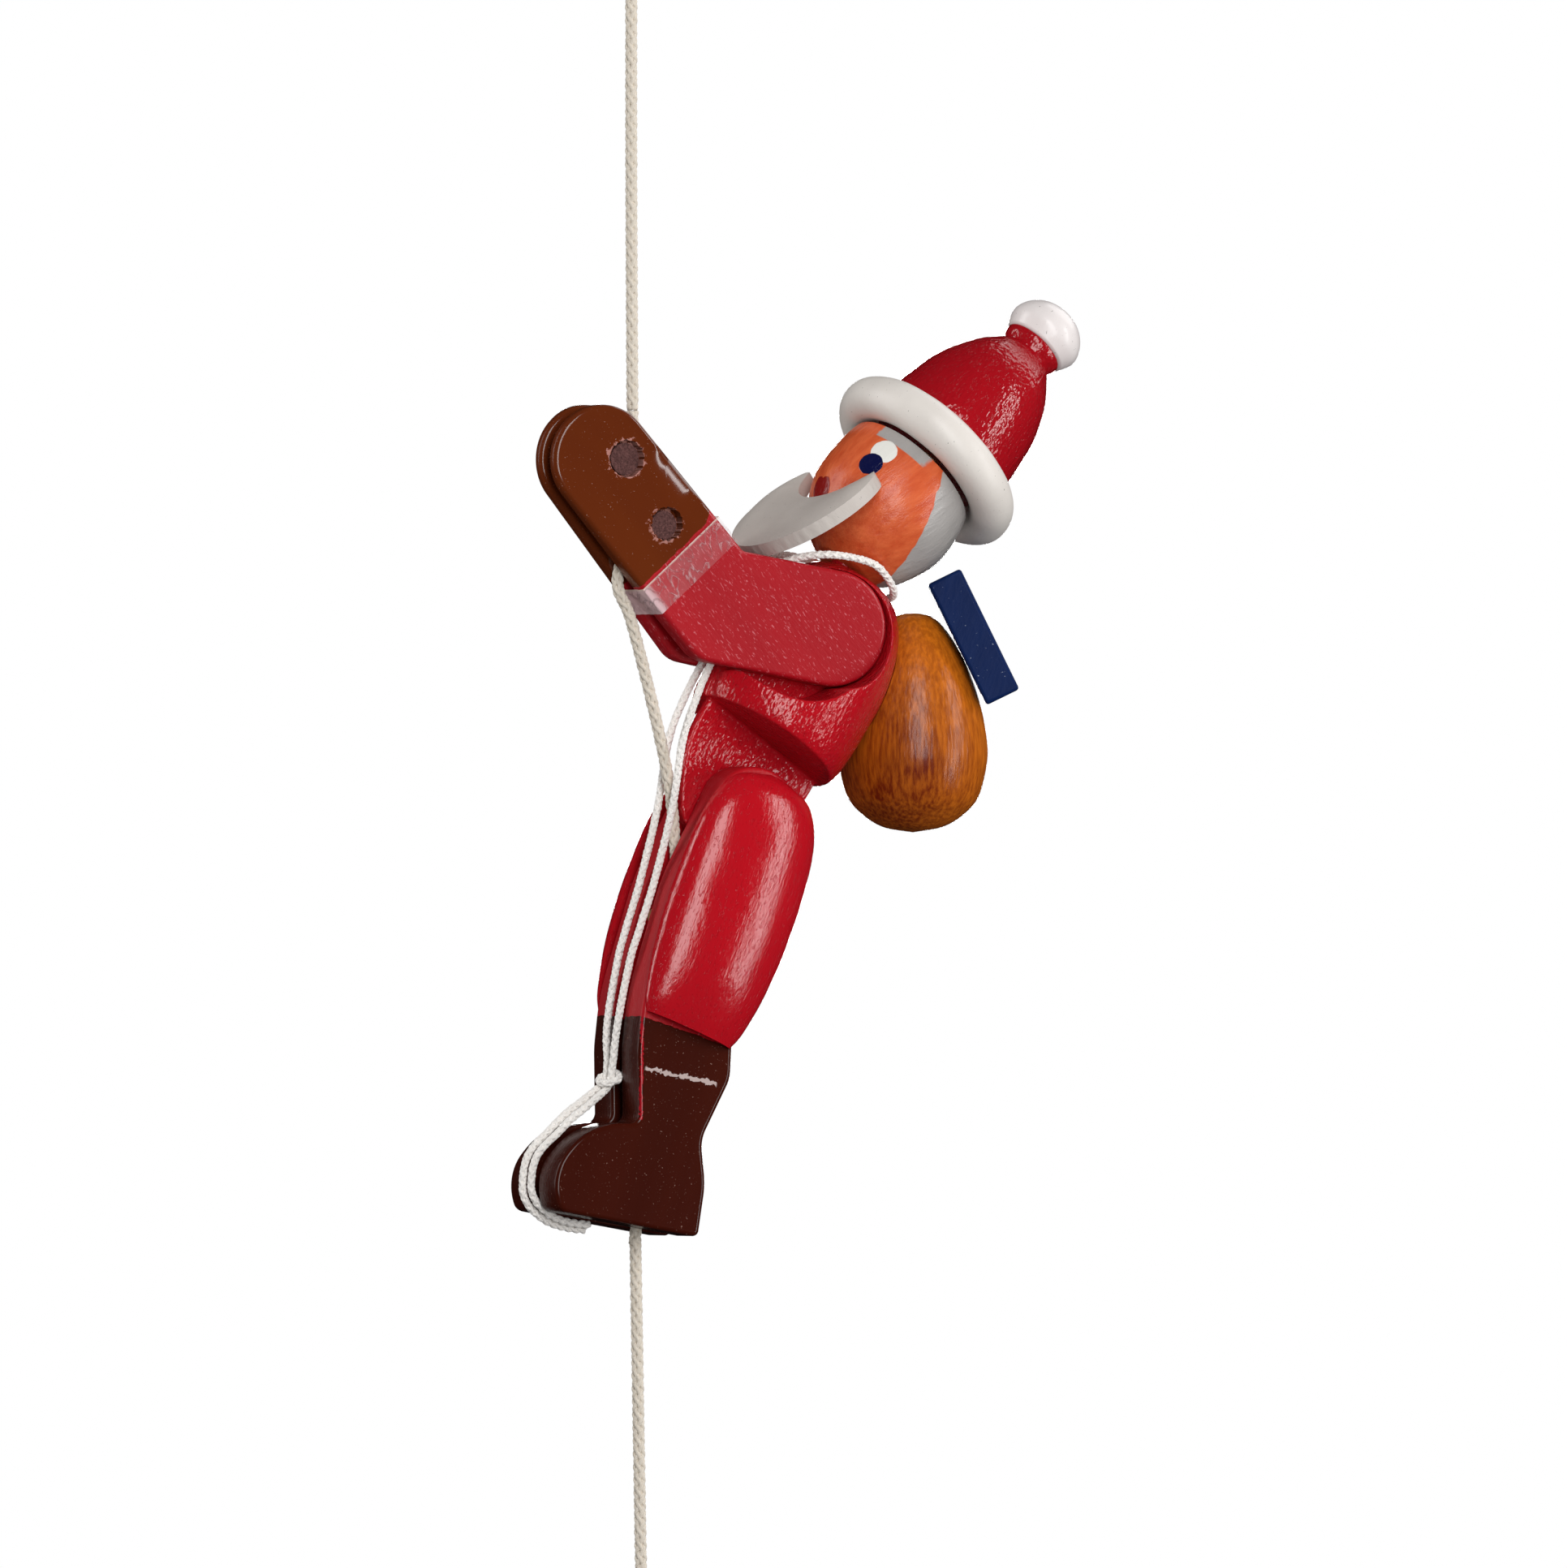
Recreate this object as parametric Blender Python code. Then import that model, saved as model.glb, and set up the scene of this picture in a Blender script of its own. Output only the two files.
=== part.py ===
import math

import bmesh
import bpy
from mathutils import Matrix, Vector

# The figure faces -X, its left side is towards -Y and +Z is up.
# Lengths are in millimetres. X is counted from the main cord and Z from the figure's soles;
# pt() moves them to the hanging loop, where a hook bears at the origin.
MM = 0.001
SOLE_Z = -218.0
FIT = 0.3
SNUG = 0.12
RUNNING = 0.08
ROUND_STEPS = 40
RING_STEPS = 56
TUBE_STEPS = 20
ROD_STEPS = 24

# Main cord
CORD_D = 2.1
CORD_X_TOP = 0.0
LOOP_TOP_Z = CORD_D / 2.0
LOOP_WIDTH = 7.6
LOOP_SHOULDER = 4.4
LOOP_CROWN = 2.0
LOOP_KNOT_TOP_Z = -8.6
KNOT_PITCH = 2.25
LOOP_KNOT_TURNS = 2.4
END_KNOT_TURNS = 2.2
END_KNOT_TOP_Z = -278.0
CORD_TAIL = 3.2
HANG_X = 1.17
HANDS_IN_Z = 132.4
SOLE_OUT_Z = -0.9

# Elastic cord
ELASTIC_D = 1.4

# Torso, turned, then milled on both sides
TORSO_HEM = (23.97, 79.4)
TORSO_LEAN = 35.0
TORSO_R = 13.8
TORSO_LENGTH = 31.2
TRUNK_R = 11.8
TRUNK_LENGTH = 20.0
TRUNK_THICK = 2.2
TRUNK_SLAB_REACH = 2.0
TRUNK_SLAB_TOP = 4.0

# Head and hat
HEAD_CENTRE = (47.8, 118.0)
HEAD_LEAN = 39.0
HEAD_R = 12.45
NECK_END = -13.6
HAT_CENTRE = (54.9, 124.7)
HAT_LEAN = 47.4
BRIM_R = 13.6
BRIM_TUBE = 3.6
BRIM_HOLE_R = 10.3
CROWN_R = 12.1
CROWN_FOOT = 3.3
CROWN_TOP = 25.4
STUB_R = 5.3
STUB_TOP = 27.2
POMPOM_R = 6.3
POMPOM_HEIGHT = 8.0
SPIGOT_R = 1.6
SPIGOT_LENGTH = 3.6
DOWEL_R = 2.0
NECK_DOWEL_LENGTH = 12.0
HAT_DOWEL_LENGTH = 11.0

# Beard, a crescent sawn from a turned disc
BEARD_CENTRE = (33.9, 119.3)
BEARD_SLOPE = 34.0
BEARD_R = 15.2
BEARD_HOLE_R = 10.3
BEARD_HOLE_BACK = 9.3
BEARD_TIP_CUT = 7.4
BEARD_THICK = 2.3
BEARD_DOME = 0.9

# Arms, two boards that come closer towards the hands
ARM_GROW = 0.5
HAND_TIP_A = (-18.9, 125.3)
HAND_TIP_B = (-6.6, 136.2)
HAND_TIP_R = 8.0
ELBOW_INNER = (17.1, 109.5)
ELBOW_INNER_R = 2.0
SHOULDER_A = (43.6, 104.7)
SHOULDER_B = (40.3, 87.2)
SHOULDER_R = 8.8
ELBOW_OUTER = (9.7, 92.9)
ELBOW_OUTER_R = 5.0
WRIST_X = 4.0
HAND_INNER_Y = 1.25
ARM_INNER_SLOPE = 0.105
WRIST_OUTER_Y = 5.2
ARM_OUTER_SLOPE = 0.0905
ARM_BEVEL = 0.6
SHOULDER_CENTRE = (32.6, 98.0)
SHOULDER_DOWEL_HALF = 6.0
POCKET_CENTRE = (26.5, 97.6)
POCKET_R = 11.8

# Pegs through the hands
PEG_UPPER = (-3.48, 124.7)
PEG_UPPER_R = 2.6
PEG_LOWER = (3.4, 114.1)
PEG_LOWER_R = 2.3
PEG_PLAY = 0.42
PEG_RECESS = 0.45

# Clear band round the wrists
BAND_WIDTH = 5.2
BAND_THICK = 0.2
BAND_ALONG = 75.4

# Legs
HIP = (18.0, 67.0)
HIP_AXLE_R = 1.5
LEG_GAP = 2.8
LEG_THICK = 6.2
LEG_BEVEL = 0.7
THIGH_FOOT = (6.0, 32.9)
THIGH_LEAN = 22.2
THIGH_LENGTH = 43.8
THIGH_HALF_WIDTH = 11.4
THIGH_BULGE = 5.4
LEG_PIN = (5.4, 51.0)
LEG_PIN_R = 1.6
TOE_PIN = (-9.0, 9.0)
TOE_PIN_R = 1.8
PIN_SEAT = 4.6

# Sack and parcel
SACK_X = 52.4
SACK_FOOT_Z = 64.6
SACK_HEIGHT = 35.4
SACK_R = 12.0
SACK_DOWEL_R = 1.5
SACK_DOWEL_HALF = 4.5
SACK_DOWEL_AT = (43.2, 82.0)
PARCEL_CENTRE = (60.9, -4.8, 96.2)
PARCEL_TURN = 30.0
PARCEL_LEAN = 26.1
PARCEL_LENGTH = 21.7
PARCEL_THICK = 5.9
PARCEL_WIDTH = 15.0
PARCEL_EDGE = 0.6

for old in list(bpy.data.objects):
    bpy.data.objects.remove(old)


def paint(name, colour, roughness, metallic=0.0):
    material = bpy.data.materials.new(name)
    material.use_nodes = True
    shader = material.node_tree.nodes["Principled BSDF"]
    shader.inputs["Base Color"].default_value = (*colour, 1.0)
    shader.inputs["Roughness"].default_value = roughness
    shader.inputs["Metallic"].default_value = metallic
    return material


RED = (0.50, 0.010, 0.014)
GREY = (0.38, 0.40, 0.39)
WHITE = (0.78, 0.75, 0.71)
SKIN = (0.72, 0.17, 0.05)
WOOD = (0.30, 0.17, 0.13)
CREAM = (0.66, 0.61, 0.54)


def pt(x, y, z):
    return Vector(((x - HANG_X) * MM, y * MM, (z + SOLE_Z) * MM))


def leaning(lean):
    """Unit vector in the middle plane that leans back by this many degrees from upright."""
    angle = math.radians(lean)
    return Vector((math.sin(angle), 0.0, math.cos(angle)))


def finish(bm, name, material, smooth=35.0):
    bmesh.ops.remove_doubles(bm, verts=bm.verts, dist=1e-7)
    bmesh.ops.recalc_face_normals(bm, faces=bm.faces)
    mesh = bpy.data.meshes.new(name)
    bm.to_mesh(mesh)
    bm.free()
    mesh.materials.append(material)
    mesh.shade_smooth()
    mesh.set_sharp_from_angle(angle=math.radians(smooth))
    body = bpy.data.objects.new(name, mesh)
    bpy.context.scene.collection.objects.link(body)
    return body


def loft(name, rings, material, smooth=35.0):
    """Skin a row of closed rings and close both ends."""
    bm = bmesh.new()
    loops = []
    for ring in rings:
        loops.append([bm.verts.new(point) for point in ring])
    count = len(loops[0])
    for low, high in zip(loops, loops[1:]):
        for i in range(count):
            j = (i + 1) % count
            bm.faces.new((low[i], low[j], high[j], high[i]))
    bm.faces.new(list(reversed(loops[0])))
    bm.faces.new(loops[-1])
    return finish(bm, name, material, smooth)


def smooth_profile(stations, steps):
    """Catmull-Rom curve through (height, radius) stations."""
    rows = [stations[0], *stations, stations[-1]]
    out = []
    for k in range(1, len(rows) - 2):
        p0, p1, p2, p3 = (Vector(row) for row in rows[k - 1:k + 3])
        for i in range(steps):
            t = i / steps
            out.append(0.5 * ((2 * p1) + (p2 - p0) * t + (2 * p0 - 5 * p1 + 4 * p2 - p3) * t * t
                              + (3 * p1 - p0 - 3 * p2 + p3) * t * t * t))
    out.append(Vector(stations[-1]))
    return [(row[0], max(row[1], 0.05)) for row in out]


def turned(name, foot, lean, profile, material, grow=0.0, steps=ROUND_STEPS, smooth=35.0):
    """Body turned about an axis through foot in the middle plane; profile is (height, radius)."""
    axis = leaning(lean)
    side = Vector((axis.z, 0.0, -axis.x))
    cross = Vector((0.0, 1.0, 0.0))
    start = Vector((foot[0], 0.0, foot[1]))
    rings = []
    for height, radius in profile:
        ring = []
        for i in range(steps):
            angle = 2.0 * math.pi * i / steps
            arm = side * math.cos(angle) + cross * math.sin(angle)
            point = start + axis * height + arm * (radius + grow)
            ring.append(pt(*point))
        rings.append(ring)
    return loft(name, rings, material, smooth)


def fillet_outline(corners, grow=0.0, arc_steps=12):
    """Closed outline in X, Z from (x, z, corner radius) rows, grown outwards by grow."""
    count = len(corners)
    area = sum(corners[i][0] * corners[(i + 1) % count][1] - corners[(i + 1) % count][0] * corners[i][1]
               for i in range(count))
    turn = 1.0 if area > 0 else -1.0
    out = []
    for i in range(count):
        here = Vector(corners[i][:2])
        back = (Vector(corners[i - 1][:2]) - here).normalized()
        ahead = (Vector(corners[(i + 1) % count][:2]) - here).normalized()
        convex = (-back.x * ahead.y + back.y * ahead.x) * turn > 0
        half = back.angle(ahead) / 2.0
        radius = corners[i][2]
        centre = here + (back + ahead).normalized() * radius / math.sin(half)
        first = here + back * radius / math.tan(half) - centre
        last = here + ahead * radius / math.tan(half) - centre
        sweep = first.angle_signed(last)
        reach = radius + grow if convex else max(radius - grow, 0.05)
        for k in range(arc_steps + 1):
            angle = -sweep * k / arc_steps
            spoke = Matrix.Rotation(angle, 2) @ first
            out.append(centre + spoke.normalized() * reach)
    return out


def plate(name, outline, near, far, material, folds=(), bevel=0.0, smooth=35.0):
    """Board with this X, Z outline; near and far give its Y at a given X."""
    bm = bmesh.new()
    low = [bm.verts.new((p[0], -1.0, p[1])) for p in outline]
    high = [bm.verts.new((p[0], 1.0, p[1])) for p in outline]
    count = len(outline)
    bm.faces.new(low)
    bm.faces.new(list(reversed(high)))
    for i in range(count):
        j = (i + 1) % count
        bm.faces.new((low[j], low[i], high[i], high[j]))
    for fold in folds:
        geometry = bm.verts[:] + bm.edges[:] + bm.faces[:]
        bmesh.ops.bisect_plane(bm, geom=geometry, plane_co=(fold, 0, 0), plane_no=(1, 0, 0))
    bmesh.ops.recalc_face_normals(bm, faces=bm.faces)
    for vert in bm.verts:
        x, y, z = vert.co
        vert.co = pt(x, near(x) if y < 0 else far(x), z)
    body = finish(bm, name, material, smooth)
    if bevel:
        edges = body.modifiers.new("edges", "BEVEL")
        edges.width = bevel * MM
        edges.segments = 2
        edges.limit_method = "ANGLE"
        edges.angle_limit = math.radians(50.0)
    return body


def rod(name, centre, radius, half, material, steps=ROD_STEPS, edge=0.25):
    """Round pin along Y through (x, z), with lightly broken ends."""
    rings = []
    for y, shrink in ((-half, edge), (-half + edge, 0.0), (half - edge, 0.0), (half, edge)):
        ring = []
        for i in range(steps):
            angle = 2.0 * math.pi * i / steps
            reach = radius - shrink
            ring.append(pt(centre[0] + reach * math.cos(angle), y, centre[1] + reach * math.sin(angle)))
        rings.append(ring)
    return loft(name, rings, material)


def cut(body, cutter, operation="DIFFERENCE"):
    cutter.hide_render = True
    cutter.display_type = "WIRE"
    step = body.modifiers.new(cutter.name, "BOOLEAN")
    step.operation = operation
    step.solver = "EXACT"
    step.object = cutter


def route(stations, spacing):
    """Evenly spaced points on a smooth curve through the stations."""
    rows = [stations[0], *stations, stations[-1]]
    dense = []
    for k in range(1, len(rows) - 2):
        p0, p1, p2, p3 = (Vector(row) for row in rows[k - 1:k + 3])
        for i in range(24):
            t = i / 24.0
            dense.append(0.5 * ((2 * p1) + (p2 - p0) * t + (2 * p0 - 5 * p1 + 4 * p2 - p3) * t * t
                                + (3 * p1 - p0 - 3 * p2 + p3) * t * t * t))
    dense.append(Vector(stations[-1]))
    total = sum((b - a).length for a, b in zip(dense, dense[1:]))
    count = max(2, round(total / spacing))
    step = total / count
    points = [dense[0]]
    walked = 0.0
    for a, b in zip(dense, dense[1:]):
        length = (b - a).length
        while length > 0 and walked + length >= step * len(points) - 1e-9 and len(points) < count:
            points.append(a.lerp(b, (step * len(points) - walked) / length))
        walked += length
    points.append(dense[-1])
    return points


def cord(name, stations, diameter, material, spacing=None, resolution=2):
    points = route(stations, spacing or diameter * 2.4)
    curve = bpy.data.curves.new(name, "CURVE")
    curve.dimensions = "3D"
    curve.bevel_depth = diameter / 2.0 * MM
    curve.bevel_resolution = resolution
    curve.use_fill_caps = True
    spline = curve.splines.new("POLY")
    spline.points.add(len(points) - 1)
    for target, point in zip(spline.points, points):
        target.co = (*pt(*point), 1.0)
    curve.materials.append(material)
    body = bpy.data.objects.new(name, curve)
    bpy.context.scene.collection.objects.link(body)
    return body


# Paints and other finishes
red_paint = paint("red_paint", RED, 0.28)
arm_paint = paint("arm_red_satin", RED, 0.42)
grey_paint = paint("beard_grey_paint", GREY, 0.55)
white_paint = paint("white_matt_paint", WHITE, 0.55)
skin_paint = paint("skin_paint", SKIN, 0.4)
peg_wood = paint("stained_end_grain", WOOD, 0.85)
dowel_wood = paint("plain_beech", (0.55, 0.36, 0.20), 0.7)
sack_stain = paint("sack_amber_stain", (0.42, 0.11, 0.015), 0.3)
parcel_paint = paint("parcel_blue_paint", (0.010, 0.028, 0.12), 0.35)
cord_cotton = paint("cord_cotton", CREAM, 0.9)
elastic_cotton = paint("elastic_cotton_cover", WHITE, 0.9)
band_film = paint("band_clear_film", (0.85, 0.70, 0.70), 0.15)


# Torso: jacket and the tongue below it
def jacket_profile():
    stations = [(0.0, TORSO_R - 0.9), (2.6, TORSO_R - 0.2), (9.0, TORSO_R), (16.5, TORSO_R - 0.3),
                (23.5, TORSO_R - 1.9), (28.0, TORSO_R - 4.2), (30.4, TORSO_R - 6.6),
                (TORSO_LENGTH, TORSO_R - 8.6)]
    return smooth_profile(stations, 2)


def trunk_profile():
    stations = [(-TRUNK_LENGTH, 0.4), (-TRUNK_LENGTH + 1.2, TRUNK_R * 0.42), (-14.6, TRUNK_R * 0.70),
                (-9.5, TRUNK_R * 0.9), (-4.0, TRUNK_R), (2.0, TRUNK_R)]
    return smooth_profile(stations, 2)


def arm_inner(x):
    return HAND_INNER_Y + max(0.0, x - WRIST_X) * ARM_INNER_SLOPE


def arm_outer(x):
    return WRIST_OUTER_Y + (x - WRIST_X) * ARM_OUTER_SLOPE


ARM_CORNERS = [(*HAND_TIP_A, HAND_TIP_R), (*HAND_TIP_B, HAND_TIP_R), (*ELBOW_INNER, ELBOW_INNER_R),
               (*SHOULDER_A, SHOULDER_R), (*SHOULDER_B, SHOULDER_R), (*ELBOW_OUTER, ELBOW_OUTER_R)]


def arm_board(name, side, material, grow=0.0, slack=0.0, reach=None, bevel=0.0):
    """One arm with its hand; side is -1 for the left arm. Slack and reach make it a cutter."""
    outline = fillet_outline(ARM_CORNERS, ARM_GROW + grow, 10)
    near = (lambda x: side * (reach if reach else arm_outer(x)))
    far = (lambda x: side * (arm_inner(x) - slack))
    return plate(name, outline, near, far, material, folds=(WRIST_X,), bevel=bevel, smooth=30.0)


torso = turned("torso", TORSO_HEM, TORSO_LEAN, jacket_profile(), red_paint)
trunk_form = turned("trunk_form", TORSO_HEM, TORSO_LEAN, trunk_profile(), red_paint)


def trunk_slab():
    axis = leaning(TORSO_LEAN)
    side = Vector((axis.z, 0.0, -axis.x))
    start = Vector((TORSO_HEM[0], 0.0, TORSO_HEM[1]))
    corners = ((-1, -1), (1, -1), (1, 1), (-1, 1))
    outline = []
    for across, along in corners:
        height = TRUNK_SLAB_TOP if along > 0 else -TRUNK_LENGTH - TRUNK_SLAB_REACH
        point = start + side * across * (TRUNK_R + TRUNK_SLAB_REACH) + axis * height
        outline.append(Vector((point.x, point.z)))
    half = TRUNK_THICK / 2.0
    return plate("trunk_slab", outline, lambda x: -half, lambda x: half, red_paint)


cut(trunk_form, trunk_slab(), "INTERSECT")
cut(torso, trunk_form, "UNION")
for side, word in ((-1, "left"), (1, "right")):
    slot = arm_board("arm_slot_" + word, side, red_paint, grow=FIT, slack=FIT, reach=TORSO_R + 6.0)
    pocket_outline = []
    for i in range(ROUND_STEPS):
        angle = 2.0 * math.pi * i / ROUND_STEPS
        pocket_outline.append(Vector((POCKET_CENTRE[0] + POCKET_R * math.cos(angle),
                                      POCKET_CENTRE[1] + POCKET_R * math.sin(angle))))
    pocket = plate("pocket_" + word, pocket_outline, lambda x, s=side: s * (TORSO_R + 6.0),
                   lambda x, s=side: s * (arm_inner(x) - FIT), red_paint)
    cut(torso, slot)
    cut(torso, pocket)

# Arms with their hands
arms = {}
for side, word in ((-1, "left"), (1, "right")):
    arm = arm_board("arm_" + word, side, arm_paint, bevel=ARM_BEVEL)
    arms[word] = arm


def bore(name, centre, radius, half, body):
    hole = rod(name, centre, radius, half, body.data.materials[0], edge=0.0)
    cut(body, hole)
    return hole


for word, arm in arms.items():
    bore("upper_peg_hole_" + word, PEG_UPPER, PEG_UPPER_R + PEG_PLAY, 12.0, arm)
    bore("lower_peg_hole_" + word, PEG_LOWER, PEG_LOWER_R + PEG_PLAY, 12.0, arm)
    bore("shoulder_hole_" + word, SHOULDER_CENTRE, DOWEL_R + SNUG, SHOULDER_DOWEL_HALF + SNUG, arm)

rod("hand_peg_upper", PEG_UPPER, PEG_UPPER_R, arm_outer(PEG_UPPER[0]) - PEG_RECESS, peg_wood)
rod("hand_peg_lower", PEG_LOWER, PEG_LOWER_R, arm_outer(PEG_LOWER[0]) - PEG_RECESS, peg_wood)
rod("shoulder_dowel", SHOULDER_CENTRE, DOWEL_R, SHOULDER_DOWEL_HALF, dowel_wood)
bore("shoulder_hole_torso", SHOULDER_CENTRE, DOWEL_R + SNUG, TORSO_R + 4.0, torso)

# Clear band round both wrists
hand_run = (Vector(ELBOW_INNER) - Vector(HAND_TIP_B)).normalized()
hand_side = Vector((-hand_run.y, hand_run.x))
arm_rim = fillet_outline(ARM_CORNERS, ARM_GROW)


def arm_reach(along):
    """Lowest and highest place of the arm's rim across the hand, at one place along it."""
    crossings = []
    for a, b in zip(arm_rim, arm_rim[1:] + arm_rim[:1]):
        start = -a.dot(hand_run) - along
        end = -b.dot(hand_run) - along
        if (start < 0.0) != (end < 0.0):
            crossings.append(a.lerp(b, start / (start - end)).dot(hand_side))
    return min(crossings), max(crossings)


def band_ring(along, spread):
    """Four rounded corners of the band's section across both wrists."""
    ring = []
    low, high = arm_reach(along)
    for across, y_sign in ((low, -1), (high, -1), (high, 1), (low, 1)):
        out = -1 if across == low else 1
        base = hand_side * across - hand_run * along
        y = arm_outer(base.x) * y_sign
        corner = Vector((base.x, y, base.y))
        for k in range(7):
            angle = math.radians(15.0 * k)
            across_part = math.cos(angle) if y_sign * out > 0 else math.sin(angle)
            y_part = math.sin(angle) if y_sign * out > 0 else math.cos(angle)
            step = across_part * out * spread
            ring.append(corner + Vector((hand_side.x * step, y_sign * y_part * spread, hand_side.y * step)))
    return ring


def wrist_band():
    inner = SNUG
    outer = SNUG + BAND_THICK
    low = BAND_ALONG - BAND_WIDTH / 2.0
    high = BAND_ALONG + BAND_WIDTH / 2.0
    bm = bmesh.new()
    rings = []
    for along, spread in ((low, inner), (low, outer), (high, outer), (high, inner)):
        rings.append([bm.verts.new(pt(*point)) for point in band_ring(along, spread)])
    count = len(rings[0])
    for a, b in zip(rings, rings[1:] + rings[:1]):
        for i in range(count):
            j = (i + 1) % count
            bm.faces.new((a[i], a[j], b[j], b[i]))
    return finish(bm, "wrist_band", band_film)


wrist_band()

# Head
HEAD_PROFILE = smooth_profile([(NECK_END, HEAD_R * 0.40), (-11.2, HEAD_R * 0.655), (-8.0, HEAD_R * 0.83),
                               (-3.9, HEAD_R * 0.97), (0.0, HEAD_R), (5.0, HEAD_R * 0.955),
                               (9.0, HEAD_R * 0.85), (12.5, HEAD_R * 0.66)], 3)


def hat_block(name, low, high, radius, material):
    return turned(name, HAT_CENTRE, HAT_LEAN, [(low, radius), (high, radius)], material)


head = turned("head", HEAD_CENTRE, HEAD_LEAN, HEAD_PROFILE, skin_paint)
cut(head, hat_block("head_top_cut", -BRIM_TUBE - FIT, 30.0, 30.0, skin_paint))

# Hat brim, crown and pompom
def hat_brim():
    """Turned ring of round section with a straight bore for the crown."""
    section = []
    for i in range(TUBE_STEPS):
        angle = 2.0 * math.pi * i / TUBE_STEPS
        section.append((BRIM_TUBE * math.sin(angle), max(BRIM_R + BRIM_TUBE * math.cos(angle), BRIM_HOLE_R)))
    axis = leaning(HAT_LEAN)
    side = Vector((axis.z, 0.0, -axis.x))
    start = Vector((HAT_CENTRE[0], 0.0, HAT_CENTRE[1]))
    bm = bmesh.new()
    rings = []
    for i in range(RING_STEPS):
        angle = 2.0 * math.pi * i / RING_STEPS
        spoke = side * math.cos(angle) + Vector((0.0, 1.0, 0.0)) * math.sin(angle)
        rings.append([bm.verts.new(pt(*(start + axis * h + spoke * r))) for h, r in section])
    for a, b in zip(rings, rings[1:] + rings[:1]):
        for i in range(TUBE_STEPS):
            j = (i + 1) % TUBE_STEPS
            bm.faces.new((a[i], a[j], b[j], b[i]))
    return finish(bm, "hat_brim", white_paint)


hat_brim()

crown_stations = smooth_profile([(CROWN_FOOT, CROWN_R - 0.1), (7.0, CROWN_R - 0.1), (14.4, CROWN_R * 0.885),
                                 (20.4, CROWN_R * 0.67), (CROWN_TOP, CROWN_R * 0.355)], 3)
CROWN_SEAT_R = BRIM_HOLE_R - FIT
crown_profile = [(-BRIM_TUBE, CROWN_SEAT_R), (CROWN_FOOT, CROWN_SEAT_R)]
crown_profile += crown_stations
crown_profile += [(CROWN_TOP + 0.2, STUB_R - 0.7), (STUB_TOP, STUB_R), (STUB_TOP, SPIGOT_R),
                  (STUB_TOP + SPIGOT_LENGTH, SPIGOT_R)]
crown = turned("hat_crown", HAT_CENTRE, HAT_LEAN, crown_profile, red_paint)

pompom_foot = STUB_TOP + FIT
pompom_profile = smooth_profile([(0.0, POMPOM_R * 0.86), (2.3, POMPOM_R), (4.4, POMPOM_R * 0.93),
                                 (6.3, POMPOM_R * 0.69), (7.5, POMPOM_R * 0.36), (POMPOM_HEIGHT, 0.1)], 3)
pompom_seated = [(pompom_foot + h, r) for h, r in pompom_profile]
pompom = turned("pompom", HAT_CENTRE, HAT_LEAN, pompom_seated, white_paint)
cut(pompom, turned("pompom_hole", HAT_CENTRE, HAT_LEAN,
                   [(pompom_foot - 2.0, SPIGOT_R + SNUG),
                    (STUB_TOP + SPIGOT_LENGTH + SNUG, SPIGOT_R + SNUG)], white_paint))

# Dowels in the neck and under the hat
neck_low = NECK_END - NECK_DOWEL_LENGTH / 2.0
turned("neck_dowel", HEAD_CENTRE, HEAD_LEAN,
       [(neck_low, DOWEL_R), (neck_low + NECK_DOWEL_LENGTH, DOWEL_R)], dowel_wood)
for body in (head, torso):
    hole = turned("neck_hole_" + body.name, HEAD_CENTRE, HEAD_LEAN,
                  [(neck_low - SNUG, DOWEL_R + SNUG), (neck_low + NECK_DOWEL_LENGTH + SNUG, DOWEL_R + SNUG)],
                  dowel_wood)
    cut(body, hole)
hat_low = -BRIM_TUBE - HAT_DOWEL_LENGTH / 2.0
turned("hat_dowel", HAT_CENTRE, HAT_LEAN, [(hat_low, DOWEL_R), (hat_low + HAT_DOWEL_LENGTH, DOWEL_R)],
       dowel_wood)
for body in (head, crown):
    hole = turned("hat_hole_" + body.name, HAT_CENTRE, HAT_LEAN,
                  [(hat_low - SNUG, DOWEL_R + SNUG), (hat_low + HAT_DOWEL_LENGTH + SNUG, DOWEL_R + SNUG)],
                  dowel_wood)
    cut(body, hole)


# Beard
def beard():
    slope = math.radians(BEARD_SLOPE)
    out = Vector((-math.cos(slope), 0.0, -math.sin(slope)))
    up = Vector((-math.sin(slope), 0.0, math.cos(slope)))
    cross = Vector((0.0, 1.0, 0.0))
    start = Vector((BEARD_CENTRE[0], 0.0, BEARD_CENTRE[1]))
    outer_end = math.acos(-BEARD_TIP_CUT / BEARD_R)
    inner_end = math.acos((BEARD_HOLE_BACK - BEARD_TIP_CUT) / BEARD_HOLE_R)
    steps = 30
    rows = []
    for i in range(steps + 1):
        share = 2.0 * i / steps - 1.0
        outer_angle = outer_end * share
        inner_angle = inner_end * share
        outer = out * BEARD_R * math.cos(outer_angle) + cross * BEARD_R * math.sin(outer_angle)
        inner = (out * (BEARD_HOLE_R * math.cos(inner_angle) - BEARD_HOLE_BACK)
                 + cross * BEARD_HOLE_R * math.sin(inner_angle))
        rows.append((inner, outer))
    rings = []
    for inner, outer in rows:
        ring = []
        for k in range(6):
            t = k / 5.0
            lift = BEARD_DOME * (1.0 - (2.0 * t - 1.0) ** 2) * min(1.0, (outer - inner).length / 8.0)
            ring.append(start + inner.lerp(outer, t) + up * lift)
        for k in range(2):
            t = 1.0 - k
            ring.append(start + inner.lerp(outer, t) - up * BEARD_THICK)
        rings.append([pt(*point) for point in ring])
    return loft("beard", rings, grey_paint)


whiskers = beard()
cut(whiskers, turned("face_clearance", HEAD_CENTRE, HEAD_LEAN, HEAD_PROFILE, skin_paint, grow=FIT))


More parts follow.
